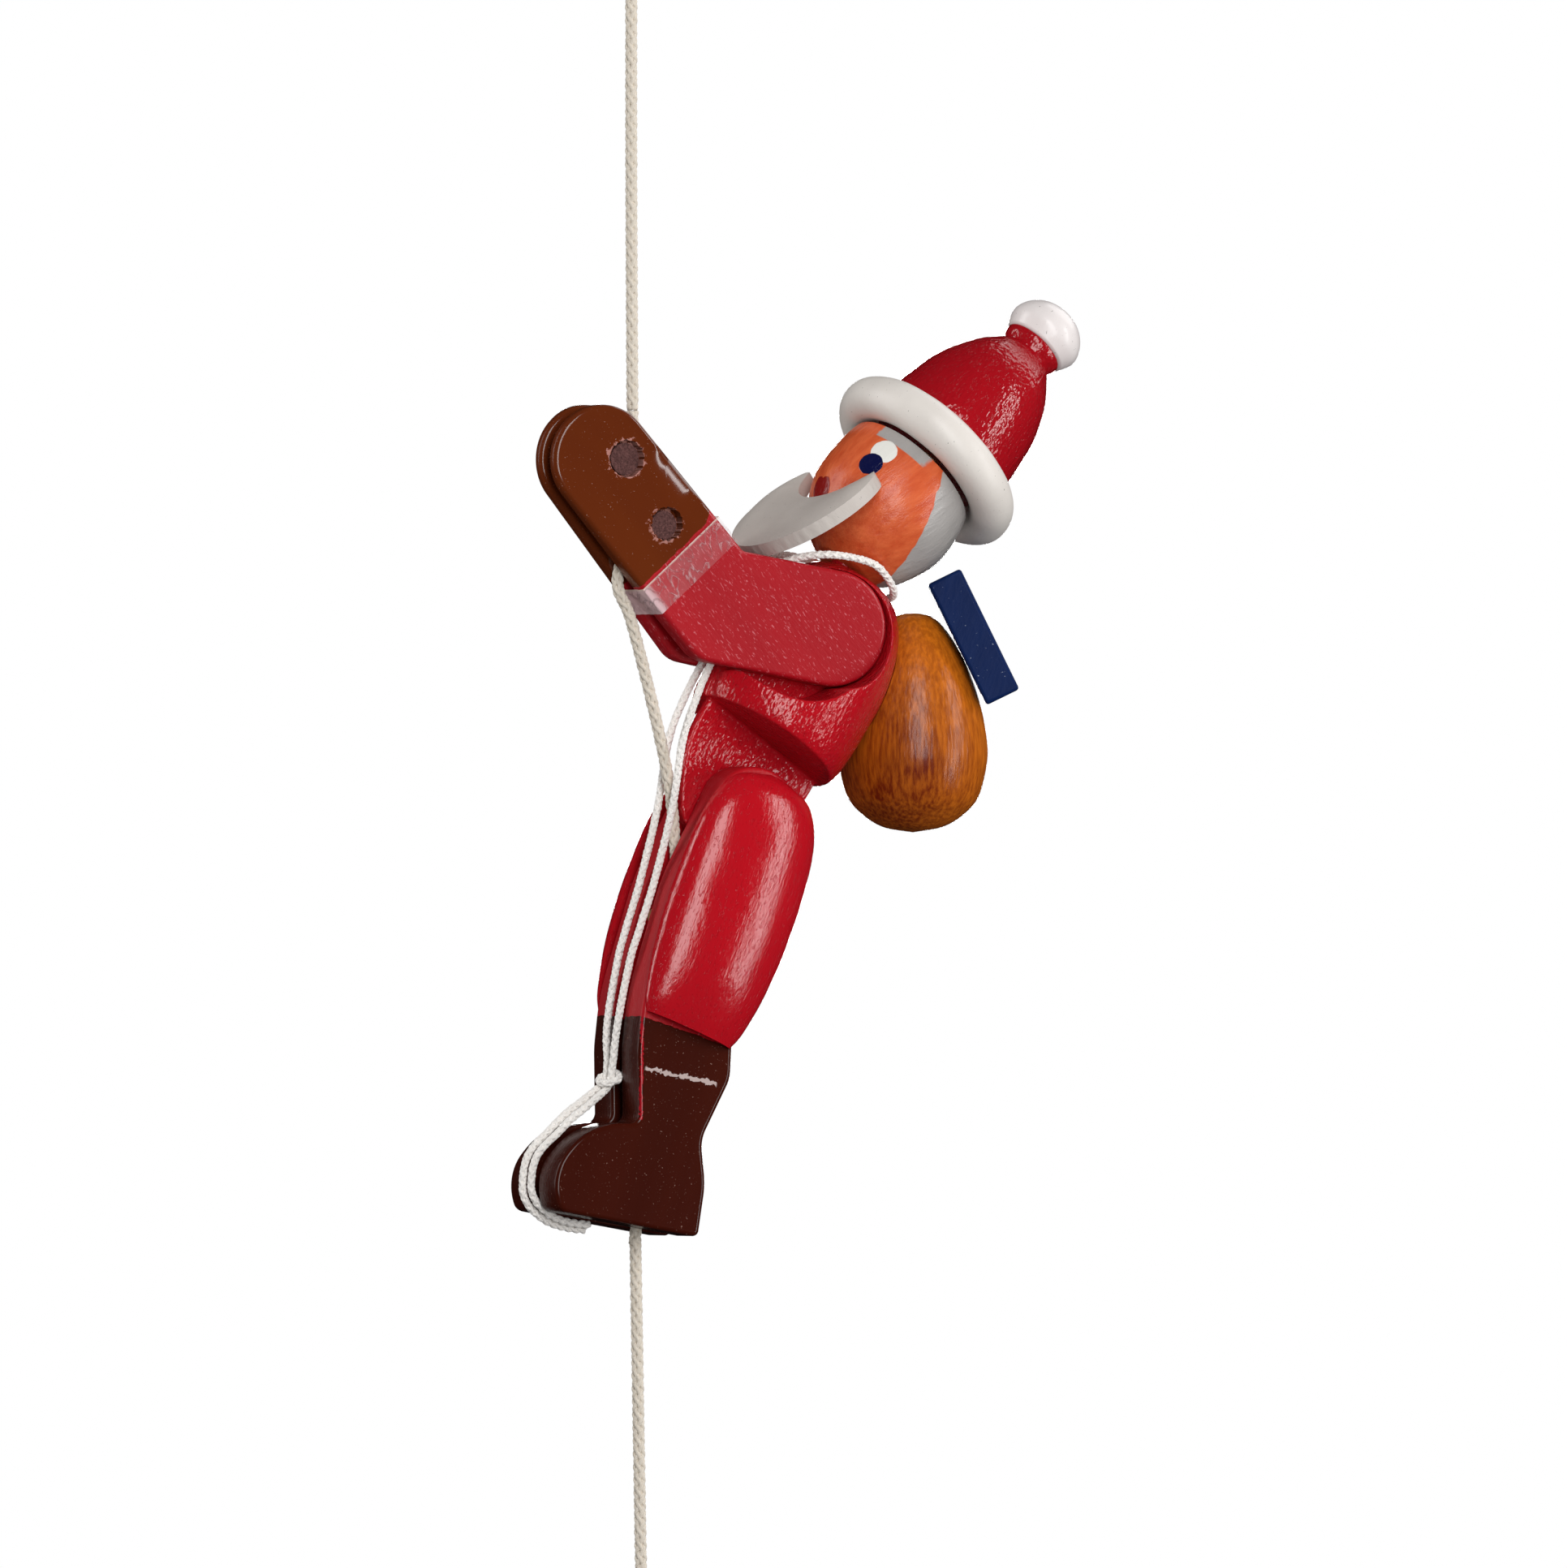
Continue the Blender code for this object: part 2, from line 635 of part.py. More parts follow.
# Legs: boards with boots, thighs glued on, axle and pins
def leg_corners():
    """Side outline of a leg: round hip, straight front, toe, sole, heel and calf."""
    return [(25.8, 75.0, 8.5), (14.4, 75.4, 6.5), (4.4, 57.4, 40.0), (-1.9, 38.5, 40.0), (-2.9, 30.0, 20.0),
            (-2.7, 17.9, 1.6), (-11.6, 18.2, 5.2), (-19.2, 9.8, 4.6), (-17.4, 3.9, 2.0), (8.2, -0.4, 1.0),
            (9.6, 8.0, 14.0), (8.8, 15.2, 6.0), (14.2, 25.0, 6.0), (14.8, 36.0, 10.0), (28.4, 60.0, 12.0)]


THIGH_AXIS = leaning(THIGH_LEAN)
THIGH_SIDE = Vector((THIGH_AXIS.z, 0.0, -THIGH_AXIS.x))


def thigh(name, side):
    """Half of a turned barrel, glued with its flat to the leg board."""
    foot = Vector((THIGH_FOOT[0], 0.0, THIGH_FOOT[1]))
    widths = smooth_profile([(0.0, 0.72), (3.0, 0.83), (10.0, 0.945), (18.0, 1.0), (27.0, 0.99), (34.0, 0.93),
                             (39.0, 0.79), (42.2, 0.55), (THIGH_LENGTH, 0.10)], 3)
    bulges = smooth_profile([(0.0, 0.42), (3.0, 0.60), (10.0, 0.88), (18.0, 1.0), (27.0, 0.99), (34.0, 0.90),
                             (39.0, 0.70), (42.2, 0.42), (THIGH_LENGTH, 0.06)], 3)
    flat = LEG_GAP / 2.0 + LEG_THICK + SNUG
    rings = []
    for (height, width), (_, bulge) in zip(widths, bulges):
        ring = []
        for k in range(17):
            angle = math.pi * k / 16
            across = THIGH_HALF_WIDTH * width * math.cos(angle)
            y = flat + THIGH_BULGE * bulge * math.sin(angle) ** 0.8
            point = foot + THIGH_AXIS * height + THIGH_SIDE * across
            ring.append(pt(point.x, side * y, point.z))
        rings.append(ring)
    return loft(name, rings, red_paint, 50.0)


legs = {}
for side, word in ((-1, "left"), (1, "right")):
    near = (lambda x, s=side: s * (LEG_GAP / 2.0 + LEG_THICK))
    far = (lambda x, s=side: s * LEG_GAP / 2.0)
    leg = plate("leg_" + word, fillet_outline(leg_corners(), 0.0, 6), near, far, red_paint,
                bevel=LEG_BEVEL, smooth=30.0)
    legs[word] = leg
    thigh("thigh_" + word, side)
    bore("axle_hole_" + word, HIP, HIP_AXLE_R + SNUG, LEG_GAP / 2.0 + PIN_SEAT + SNUG, leg)
    bore("leg_pin_hole_" + word, LEG_PIN, LEG_PIN_R + SNUG, LEG_GAP / 2.0 + PIN_SEAT + SNUG, leg)
    bore("toe_pin_hole_" + word, TOE_PIN, TOE_PIN_R + SNUG, LEG_GAP / 2.0 + PIN_SEAT + SNUG, leg)

rod("hip_axle", HIP, HIP_AXLE_R, LEG_GAP / 2.0 + PIN_SEAT, dowel_wood)
rod("leg_pin", LEG_PIN, LEG_PIN_R, LEG_GAP / 2.0 + PIN_SEAT, dowel_wood)
rod("toe_pin", TOE_PIN, TOE_PIN_R, LEG_GAP / 2.0 + PIN_SEAT, dowel_wood)
bore("axle_hole_torso", HIP, HIP_AXLE_R + RUNNING, 12.0, torso)

# Sack on the back, with a seat milled to the torso
SACK_PROFILE = smooth_profile([(0.0, 0.3), (0.9, SACK_R * 0.40), (3.0, SACK_R * 0.69), (6.0, SACK_R * 0.89),
                               (11.5, SACK_R), (16.0, SACK_R * 0.985), (21.0, SACK_R * 0.90),
                               (26.0, SACK_R * 0.76), (30.5, SACK_R * 0.56), (33.8, SACK_R * 0.33),
                               (SACK_HEIGHT, 0.3)], 2)
sack = turned("sack", (SACK_X, SACK_FOOT_Z), 0.0, SACK_PROFILE, sack_stain)
torso_clear = turned("torso_clearance", TORSO_HEM, TORSO_LEAN, jacket_profile(), sack_stain, grow=FIT)
cut(sack, torso_clear)


def sack_peg(name, radius, half, material):
    """Pin square to the torso's back, between torso and sack."""
    return turned(name, SACK_DOWEL_AT, TORSO_LEAN + 90.0, [(-half, radius), (half, radius)], material)


sack_peg("sack_dowel", SACK_DOWEL_R, SACK_DOWEL_HALF, dowel_wood)
for body in (torso, sack):
    cut(body, sack_peg("sack_hole_" + body.name, SACK_DOWEL_R + SNUG, SACK_DOWEL_HALF + SNUG, dowel_wood))


# Parcel, stuck edge-on beside the sack
def parcel():
    bm = bmesh.new()
    bmesh.ops.create_cube(bm, size=1.0)
    for vert in bm.verts:
        vert.co.x *= PARCEL_THICK * MM
        vert.co.y *= PARCEL_WIDTH * MM
        vert.co.z *= PARCEL_LENGTH * MM
    turn = Matrix.Rotation(math.radians(-PARCEL_TURN), 4, "Z")
    spin = turn @ Matrix.Rotation(math.radians(-PARCEL_LEAN), 4, "Y")
    bm.transform(Matrix.Translation(pt(*PARCEL_CENTRE)) @ spin)
    body = finish(bm, "parcel", parcel_paint, 30.0)
    edges = body.modifiers.new("edges", "BEVEL")
    edges.width = PARCEL_EDGE * MM
    edges.segments = 3
    return body


parcel()

# Elastic: round the neck, down the chest and over the toes
elastic_half = [(48.9, 0.0, 103.1), (47.9, 5.0, 103.5), (44.0, 8.9, 106.1), (38.0, 9.8, 109.2),
                (33.0, 7.2, 110.6), (29.4, 4.4, 110.4), (26.4, 2.5, 108.6), (23.0, 2.2, 104.6),
                (18.4, 1.8, 98.8), (13.9, 1.45, 91.8), (10.8, 2.0, 86.0), (8.2, 2.3, 79.4),
                (6.2, 2.4, 68.5), (3.0, 2.3, 57.0), (0.2, 2.2, 49.0), (-1.4, 2.0, 44.0),
                (-3.5, 1.7, 34.0), (-4.3, 0.95, 26.6), (-8.0, 0.85, 22.6), (-13.2, 0.85, 18.8),
                (-18.2, 0.85, 15.0), (-20.6, 0.85, 9.4), (-19.4, 0.85, 4.8), (-16.2, 0.85, 2.2),
                (-12.0, 0.85, 1.2), (-9.6, 0.85, 0.7)]
elastic_left = [(x, -y, z) for x, y, z in elastic_half]
elastic_route = list(reversed(elastic_left[1:])) + elastic_half
cord("elastic_cord", elastic_route, ELASTIC_D, elastic_cotton, spacing=4.2)

# Main cord: loop, knot, upper stretch, threaded stretch, lower stretch and end knot
strand_side = HANG_X - CORD_X_TOP
loop_knot_length = KNOT_PITCH * LOOP_KNOT_TURNS
knot_foot = LOOP_KNOT_TOP_Z - loop_knot_length
loop_route = [(HANG_X + strand_side, 0.0, knot_foot - CORD_TAIL), (HANG_X + strand_side, 0.0, knot_foot),
              (HANG_X + strand_side, 0.0, LOOP_KNOT_TOP_Z),
              (HANG_X + LOOP_WIDTH / 2.0, 0.0, LOOP_KNOT_TOP_Z + LOOP_SHOULDER),
              (HANG_X + LOOP_WIDTH / 2.0 - 0.6, 0.0, LOOP_TOP_Z - LOOP_CROWN), (HANG_X, 0.0, LOOP_TOP_Z),
              (HANG_X - LOOP_WIDTH / 2.0 + 0.6, 0.0, LOOP_TOP_Z - LOOP_CROWN),
              (HANG_X - LOOP_WIDTH / 2.0, 0.0, LOOP_KNOT_TOP_Z + LOOP_SHOULDER),
              (CORD_X_TOP, 0.0, LOOP_KNOT_TOP_Z), (CORD_X_TOP, 0.0, knot_foot - 1.0)]


def from_top(stations):
    """Points given below the loop's top, moved into the figure's own heights."""
    return [(x, y, z - SOLE_Z) for x, y, z in stations]


def coil(name, radius, top, turns, centre_x):
    stations = []
    per_turn = 16
    for i in range(int(turns * per_turn) + 1):
        angle = 2.0 * math.pi * i / per_turn
        stations.append((centre_x + radius * math.cos(angle), radius * math.sin(angle),
                         top - KNOT_PITCH * i / per_turn))
    return cord(name, from_top(stations), CORD_D, cord_cotton, spacing=2.0 * math.pi * radius / per_turn)


cord("hanging_loop", from_top(loop_route), CORD_D, cord_cotton, spacing=1.7)
coil("loop_knot", 2.0 * CORD_D + 2.0 * SNUG - strand_side / 2.0, LOOP_KNOT_TOP_Z - 0.4, LOOP_KNOT_TURNS - 0.4,
     HANG_X)
cord("cord_upper", [(CORD_X_TOP, 0.0, knot_foot - 1.0 - FIT - SOLE_Z), (CORD_X_TOP, 0.0, 170.0),
                    (0.2, 0.0, HANDS_IN_Z + FIT)], CORD_D, cord_cotton)
threaded_route = [(0.2, 0.0, HANDS_IN_Z), (0.35, 0.0, PEG_UPPER[1]), (0.1, 0.0, 119.0),
                  (-0.15, 0.0, PEG_LOWER[1]), (-1.3, 0.0, 109.6), (-2.5, 0.0, 106.0), (-2.2, 0.0, 103.2),
                  (0.0, 0.0, 98.6), (4.2, 0.0, 84.2), (7.0, 0.0, 72.4), (8.0, 0.0, 64.0), (8.4, 0.0, 57.0),
                  (8.35, 0.0, 51.0), (6.8, 0.0, 41.0), (1.1, 0.0, 2.6), (0.75, 0.0, SOLE_OUT_Z)]
cord("cord_threaded", threaded_route, CORD_D, cord_cotton)
cord("cord_lower", [(0.75, 0.0, SOLE_OUT_Z - FIT), (0.85, 0.0, -6.0), (1.8, 0.0, -54.0),
                    (2.0, 0.0, END_KNOT_TOP_Z - SOLE_Z),
                    (2.0, 0.0, END_KNOT_TOP_Z - SOLE_Z - KNOT_PITCH * END_KNOT_TURNS - CORD_TAIL)],
     CORD_D, cord_cotton)
coil("end_knot", CORD_D + 2.0 * SNUG, END_KNOT_TOP_Z, END_KNOT_TURNS, 2.0)
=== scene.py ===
"""Climbing figure toy: the finish of every wooden piece, the cords and the painted face."""

import math

import bmesh
import bpy
from mathutils import Matrix, Vector, noise


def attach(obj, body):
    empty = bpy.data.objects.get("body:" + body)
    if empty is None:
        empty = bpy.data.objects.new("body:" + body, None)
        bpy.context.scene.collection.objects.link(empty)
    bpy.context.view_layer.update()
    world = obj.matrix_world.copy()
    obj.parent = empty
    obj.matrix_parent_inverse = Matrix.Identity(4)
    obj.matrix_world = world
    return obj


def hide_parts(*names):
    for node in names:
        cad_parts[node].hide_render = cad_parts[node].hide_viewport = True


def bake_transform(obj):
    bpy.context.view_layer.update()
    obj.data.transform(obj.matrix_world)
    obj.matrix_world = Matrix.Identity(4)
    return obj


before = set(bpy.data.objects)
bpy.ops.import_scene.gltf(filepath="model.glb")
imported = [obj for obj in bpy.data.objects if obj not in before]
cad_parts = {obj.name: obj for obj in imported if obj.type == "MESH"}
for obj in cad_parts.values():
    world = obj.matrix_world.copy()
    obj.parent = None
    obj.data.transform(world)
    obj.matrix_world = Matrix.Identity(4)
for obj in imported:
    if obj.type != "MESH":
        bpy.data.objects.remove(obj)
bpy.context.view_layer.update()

# Sizes are in millimetres. X is counted from the main cord and Z from the figure's soles, as in
# the CAD model; pt() moves a point to the hanging loop, which is the frame's origin.
MM = 0.001
HANG_X = 1.17
SOLE_Z = -218.0
UP_Y = Vector((0.0, 1.0, 0.0))
FULL_TURN = 2.0 * math.pi

# The photograph: 1931 x 1932 pixels, 7.66 of them to the millimetre, seen 30 degrees from the side.
PHOTO_W = 1931
PHOTO_H = 1932
PX_PER_MM = 7.66
CORD_PX = 778.0
SOLE_PX = 1521.0
VIEW_TURN = math.radians(30.0)
CAMERA_AWAY = 6.0
SENSOR_MM = 36.0
SCREEN_R = 2.6
FILL_LIGHT = 0.22

# Each lamp's name, bearing, rise, distance, width, height, watts and slant, in degrees and metres
LAMPS = (("front_softbox", -107.0, 17.0, 1.1, 0.40, 1.10, 9.2, 0.0),
         ("side_softbox", -45.0, 5.0, 0.9, 0.11, 0.98, 3.5, 17.0),
         ("rim_softbox", 150.0, 20.0, 1.1, 0.3, 0.9, 4.5, 0.0),
         ("back_softbox", 18.0, 38.0, 1.3, 0.9, 0.9, 5.0, 0.0),
         ("hind_softbox", 60.0, 2.0, 1.3, 0.26, 0.26, 6.5, 0.0))


def pt(x, y, z):
    """A point on the figure in millimetres, as a place in the frame in metres."""
    return Vector(((x - HANG_X) * MM, y * MM, (z + SOLE_Z) * MM))


def leaning(lean):
    """Unit vector in the middle plane that leans back by this many degrees from upright."""
    angle = math.radians(lean)
    return Vector((math.sin(angle), 0.0, math.cos(angle)))


def across(axis):
    """The direction in the middle plane square to an axis, towards the figure's back."""
    return Vector((axis.z, 0.0, -axis.x))


def in_plane(place):
    """A place given as (x, z), as a point in the middle plane."""
    return Vector((place[0], 0.0, place[1]))


# Camera and lamps
def set_camera():
    """Camera a long way off at the photograph's bearing and scale; returns the point it looks at."""
    right = Vector((math.cos(VIEW_TURN), -math.sin(VIEW_TURN), 0.0))
    ahead = Vector((math.sin(VIEW_TURN), math.cos(VIEW_TURN), 0.0))
    middle = right * ((PHOTO_W / 2.0 - CORD_PX) / PX_PER_MM * MM)
    middle.x -= HANG_X * MM
    middle.z = ((SOLE_PX - PHOTO_H / 2.0) / PX_PER_MM + SOLE_Z) * MM
    lens = bpy.data.cameras.new("camera")
    lens.sensor_fit = "HORIZONTAL"
    lens.sensor_width = SENSOR_MM
    lens.lens = SENSOR_MM * CAMERA_AWAY / (PHOTO_W / PX_PER_MM * MM)
    lens.clip_start = 0.05
    camera = bpy.data.objects.new("camera", lens)
    bpy.context.scene.collection.objects.link(camera)
    camera.location = middle - ahead * CAMERA_AWAY
    camera.rotation_euler = ahead.to_track_quat("-Z", "Y").to_euler()
    bpy.context.scene.camera = camera
    return middle


def soft_lamp(name, turn, rise, away, wide, tall, watts, slant):
    """Rectangular softbox at this bearing, height and slant, in degrees, that faces the figure."""
    data = bpy.data.lights.new(name, "AREA")
    data.shape = "RECTANGLE"
    data.size = wide
    data.size_y = tall
    data.energy = watts
    lamp = bpy.data.objects.new(name, data)
    bpy.context.scene.collection.objects.link(lamp)
    aim = Vector((math.cos(math.radians(turn)), math.sin(math.radians(turn)), math.tan(math.radians(rise))))
    aim.normalize()
    lamp.location = figure_middle + aim * away
    level = (-aim).to_track_quat("-Z", "Y")
    lamp.rotation_euler = (Matrix.Rotation(math.radians(-slant), 3, aim).to_quaternion() @ level).to_euler()


figure_middle = set_camera()
for lamp_settings in LAMPS:
    soft_lamp(*lamp_settings)


# Mesh helpers
FLAT_BORDER = 0.12


def placed(bm, name):
    """Makes an object of the mesh and puts it in the scene."""
    mesh = bpy.data.meshes.new(name)
    bm.to_mesh(mesh)
    bm.free()
    made = bpy.data.objects.new(name, mesh)
    bpy.context.scene.collection.objects.link(made)
    return made


def evaluated(holder, extra=()):
    """The object's mesh with its modifiers applied, as a bmesh; the helper objects are removed."""
    graph = bpy.context.evaluated_depsgraph_get()
    mesh = bpy.data.meshes.new_from_object(holder.evaluated_get(graph))
    bm = bmesh.new()
    bm.from_mesh(mesh)
    for used in (holder, *extra):
        bpy.data.objects.remove(used)
    return bm


def outward(bm):
    """Turns every face of a closed mesh outwards."""
    bmesh.ops.recalc_face_normals(bm, faces=bm.faces)
    if bm.calc_volume(signed=True) < 0.0:
        bmesh.ops.reverse_faces(bm, faces=bm.faces)


def finish(bm, name, paint, body=None, nodes=(), sharp=40.0):
    """Makes the object, smooth but for edges sharper than this, and puts it in place of its CAD nodes."""
    bmesh.ops.remove_doubles(bm, verts=bm.verts, dist=2e-7)
    outward(bm)
    made = placed(bm, name)
    made.data.materials.append(paint)
    made.data.shade_smooth()
    made.data.set_sharp_from_angle(angle=math.radians(sharp))
    if body:
        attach(made, body)
    if nodes:
        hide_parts(*nodes)
    return made


def smooth_curve(stations, steps):
    """Catmull-Rom curve through rows of numbers."""
    rows = [stations[0], *stations, stations[-1]]
    out = []
    for k in range(1, len(rows) - 2):
        p0, p1, p2, p3 = (Vector(row) for row in rows[k - 1:k + 3])
        for i in range(steps):
            t = i / steps
            out.append(0.5 * ((2 * p1) + (p2 - p0) * t + (2 * p0 - 5 * p1 + 4 * p2 - p3) * t * t
                              + (3 * p1 - p0 - 3 * p2 + p3) * t * t * t))
    out.append(Vector(stations[-1]))
    return out


def spun(points, centre, axis, steps, sweep=FULL_TURN, ring=False, weld=1e-6):
    """Spins a row of points, or a closed ring of them, about an axis and welds what meets."""
    bm = bmesh.new()
    verts = [bm.verts.new(point) for point in points]
    edges = [bm.edges.new(pair) for pair in zip(verts, verts[1:] + verts[:1] if ring else verts[1:])]
    bmesh.ops.spin(bm, geom=verts + edges, cent=centre, axis=axis, angle=sweep, steps=steps,
                   use_merge=sweep == FULL_TURN)
    bmesh.ops.remove_doubles(bm, verts=bm.verts, dist=weld)
    return bm


def turned(profile, foot, lean, steps=128):
    """Spins a profile of (height, radius) about the leaning axis through foot."""
    axis = leaning(lean)
    side = across(axis)
    start = in_plane(foot)
    points = [pt(*(start + axis * h + side * max(r, 0.0))) for h, r in profile]
    bm = spun(points, pt(*start), axis, steps)
    outward(bm)
    return bm


def closed(stations, steps, grow=0.0):
    """A turned profile through stations, wider by grow, that starts and ends on its axis."""
    rows = [(h, r + grow) for h, r in smooth_curve(stations, steps)]
    return [(rows[0][0], 0.0), *rows, (rows[-1][0], 0.0)]


def lofted(rows):
    """A skin through closed rings of points in millimetres, and the edges of each ring."""
    bm = bmesh.new()
    rings = []
    for row in rows:
        verts = [bm.verts.new(pt(*point)) for point in row]
        rings.append([bm.edges.new(pair) for pair in zip(verts, verts[1:] + verts[:1])])
    for low, high in zip(rings, rings[1:]):
        bmesh.ops.bridge_loops(bm, edges=low + high)
    return bm, rings


def hand_made(bm, depth, size, seed):
    """Slight unevenness of hand turning and thick paint, depth and size in millimetres."""
    bm.normal_update()
    for vert in bm.verts:
        swell = noise.noise(vert.co / (size * MM) + Vector((seed, 0.0, 0.0)))
        vert.co += vert.normal * swell * depth * MM


def carved(base, cutters):
    """Applies exact booleans in turn: cutters are (bmesh, operation)."""
    holder = placed(base, "carving")
    tools = []
    for cutter, operation in cutters:
        tool = placed(cutter, "cutter")
        step = holder.modifiers.new("cut", "BOOLEAN")
        step.operation = operation
        step.solver = "EXACT"
        step.object = tool
        tools.append(tool)
    return evaluated(holder, tools)


def softened(bm, voxel, rounds):
    """Rounds every edge a little, as thick paint does: an even remesh, then smoothing."""
    holder = placed(bm, "softening")
    grid = holder.modifiers.new("grid", "REMESH")
    grid.mode = "VOXEL"
    grid.voxel_size = voxel * MM
    relax = holder.modifiers.new("relax", "SMOOTH")
    relax.factor = 0.5
    relax.iterations = rounds
    return evaluated(holder)


def drawn_out(bm, faces, vec):
    """Draws these faces out into a solid by vec."""
    grown = bmesh.ops.extrude_face_region(bm, geom=faces)["geom"]
    bmesh.ops.translate(bm, verts=[v for v in grown if isinstance(v, bmesh.types.BMVert)], vec=vec)


def fillet_outline(corners, grow=0.0, arc_steps=24):
    """Closed outline in X, Z from (x, z, corner radius) rows, grown outwards by grow."""
    count = len(corners)
    area = sum(corners[i][0] * corners[(i + 1) % count][1] - corners[(i + 1) % count][0] * corners[i][1]
               for i in range(count))
    turn = 1.0 if area > 0 else -1.0
    out = []
    for i in range(count):
        here = Vector(corners[i][:2])
        back = (Vector(corners[i - 1][:2]) - here).normalized()
        ahead = (Vector(corners[(i + 1) % count][:2]) - here).normalized()
        convex = (-back.x * ahead.y + back.y * ahead.x) * turn > 0
        half = back.angle(ahead) / 2.0
        radius = corners[i][2]
        centre = here + (back + ahead).normalized() * radius / math.sin(half)
        first = here + back * radius / math.tan(half) - centre
        last = here + ahead * radius / math.tan(half) - centre
        sweep = first.angle_signed(last)
        reach = radius + grow if convex else max(radius - grow, 0.05)
        for k in range(arc_steps + 1):
            spoke = Matrix.Rotation(-sweep * k / arc_steps, 2) @ first
            out.append(centre + spoke.normalized() * reach)
    return out


def kept_flat(bm, least):
    """Rings each large face with a narrow border, so that smooth shading bends only over the edges."""
    large = [f for f in bm.faces if f.calc_area() > least * MM * MM]
    bmesh.ops.inset_individual(bm, faces=large, thickness=FLAT_BORDER * MM)


def board(outline, near, far, fold=None, edge=0.0, segments=3):
    """Flat board with this X, Z outline; near and far give its Y at a given X, edge rounds its rims."""
    bm = bmesh.new()
    face = bm.faces.new([bm.verts.new((p[0], -1.0, p[1])) for p in outline])
    drawn_out(bm, [face], (0.0, 2.0, 0.0))
    if fold is not None:
        bmesh.ops.bisect_plane(bm, geom=bm.verts[:] + bm.edges[:] + bm.faces[:], plane_co=(fold, 0, 0),
                               plane_no=(1, 0, 0))
    for vert in bm.verts:
        x, y, z = vert.co
        vert.co = pt(x, near(x) if y < 0 else far(x), z)
    outward(bm)
    if edge:
        rims = [e for e in bm.edges if len(e.link_faces) == 2 and e.calc_face_angle() > 1.0]
        bmesh.ops.bevel(bm, geom=rims, offset=edge * MM, offset_type="OFFSET", segments=segments,
                        profile=0.5, affect="EDGES", material=-1, clamp_overlap=True)
        kept_flat(bm, 60.0)
    return bm


def pin(centre, radius, half, steps=64, ragged=0.0, seed=0.0):
    """Round pin or drill along Y through (x, z), with a ragged outline if asked."""
    bm = bmesh.new()
    ring = bmesh.ops.create_circle(bm, cap_ends=True, segments=steps, radius=radius)
    for vert in ring["verts"]:
        swell = ragged * noise.noise(Vector((vert.co.x * 2.2, vert.co.y * 2.2, seed)))
        vert.co *= 1.0 + swell / radius
    drawn_out(bm, bm.faces[:], (0.0, 0.0, 2.0 * half))
    for vert in bm.verts:
        x, y, z = vert.co
        vert.co = pt(centre[0] + x, z - half, centre[1] + y)
    outward(bm)
    return bm


# Shader helpers
def tone(hex_code):
    """A colour written as the eye sees it, turned to linear."""
    parts = [int(hex_code[i:i + 2], 16) / 255.0 for i in (1, 3, 5)]
    linear = [c / 12.92 if c <= 0.04045 else ((c + 0.055) / 1.055) ** 2.4 for c in parts]
    return (*linear, 1.0)


def fill(tree, target, sockets):
    """Gives each of a node's inputs its value, or a link from another node's output."""
    for socket, value in sockets.items():
        if isinstance(value, bpy.types.NodeSocket):
            tree.links.new(value, target.inputs[socket])
        else:
            target.inputs[socket].default_value = value


def node(tree, kind, sockets=None, out=0, **settings):
    """Adds one node with its inputs and its own settings, and returns one of its outputs."""
    made = tree.nodes.new("ShaderNode" + kind)
    for name, value in settings.items():
        setattr(made, name, value)
    fill(tree, made, sockets or {})
    return made.outputs[out] if made.outputs else None


def folded(tree, operation, *values):
    """All the values taken together by one operation, such as the product of several masks."""
    total = values[0]
    for value in values[1:]:
        total = node(tree, "Math", {0: total, 1: value}, operation=operation)
    return total


def coats(tree, body, *laid):
    """A first colour and those laid over it in turn, each with the mask that shows where it lies."""
    for mask, colour in laid:
        below, above = (tone(c) if isinstance(c, str) else c for c in (body, colour))
        body = node(tree, "Mix", {0: mask, 6: below, 7: above}, 2, data_type="RGBA")
    return body


def relief(tree, *forms, under=None):
    """Dents and ridges one over another: height, strength and depth in mm, which is minus where sunk."""
    for height, strength, depth in forms:
        sockets = {"Height": height, "Strength": strength, "Distance": abs(depth) * MM}
        if under is not None:
            sockets["Normal"] = under
        under = node(tree, "Bump", sockets, invert=depth < 0.0)
    return under


def within(tree, *limits):
    """Mask that is 1 where every value is past its limit; each limit is a value, a start and a full end."""
    return folded(tree, "MULTIPLY", *(node(tree, "MapRange", {0: value, 1: start, 2: full})
                                      for value, start, full in limits))


def material(name):
    """A new material and its node tree."""
    made = bpy.data.materials.new(name)
    made.use_nodes = True
    return made, made.node_tree


def dress(made, sockets):
    """Gives the material's shader these values and links, and returns the material."""
    fill(made.node_tree, made.node_tree.nodes["Principled BSDF"], sockets)
    return made


def worn(made, socket):
    """What the material's shader already has linked to this input."""
    return made.node_tree.nodes["Principled BSDF"].inputs[socket].links[0].from_socket


# World and screen
def set_world():
    """White behind the figure and in its gloss, a softer grey for the fill light."""
    world = bpy.data.worlds.new("studio")
    bpy.context.scene.world = world
    world.use_nodes = True
    tree = world.node_tree
    tree.nodes.clear()
    white_rays = [node(tree, "LightPath", out=ray)
                  for ray in ("Is Camera Ray", "Is Transmission Ray", "Is Glossy Ray")]
    level = node(tree, "MapRange", {0: folded(tree, "MAXIMUM", *white_rays), 3: FILL_LIGHT, 4: 1.0})
    background = node(tree, "Background", {"Color": (1.0, 1.0, 1.0, 1.0), "Strength": level})
    node(tree, "OutputWorld", {"Surface": background})


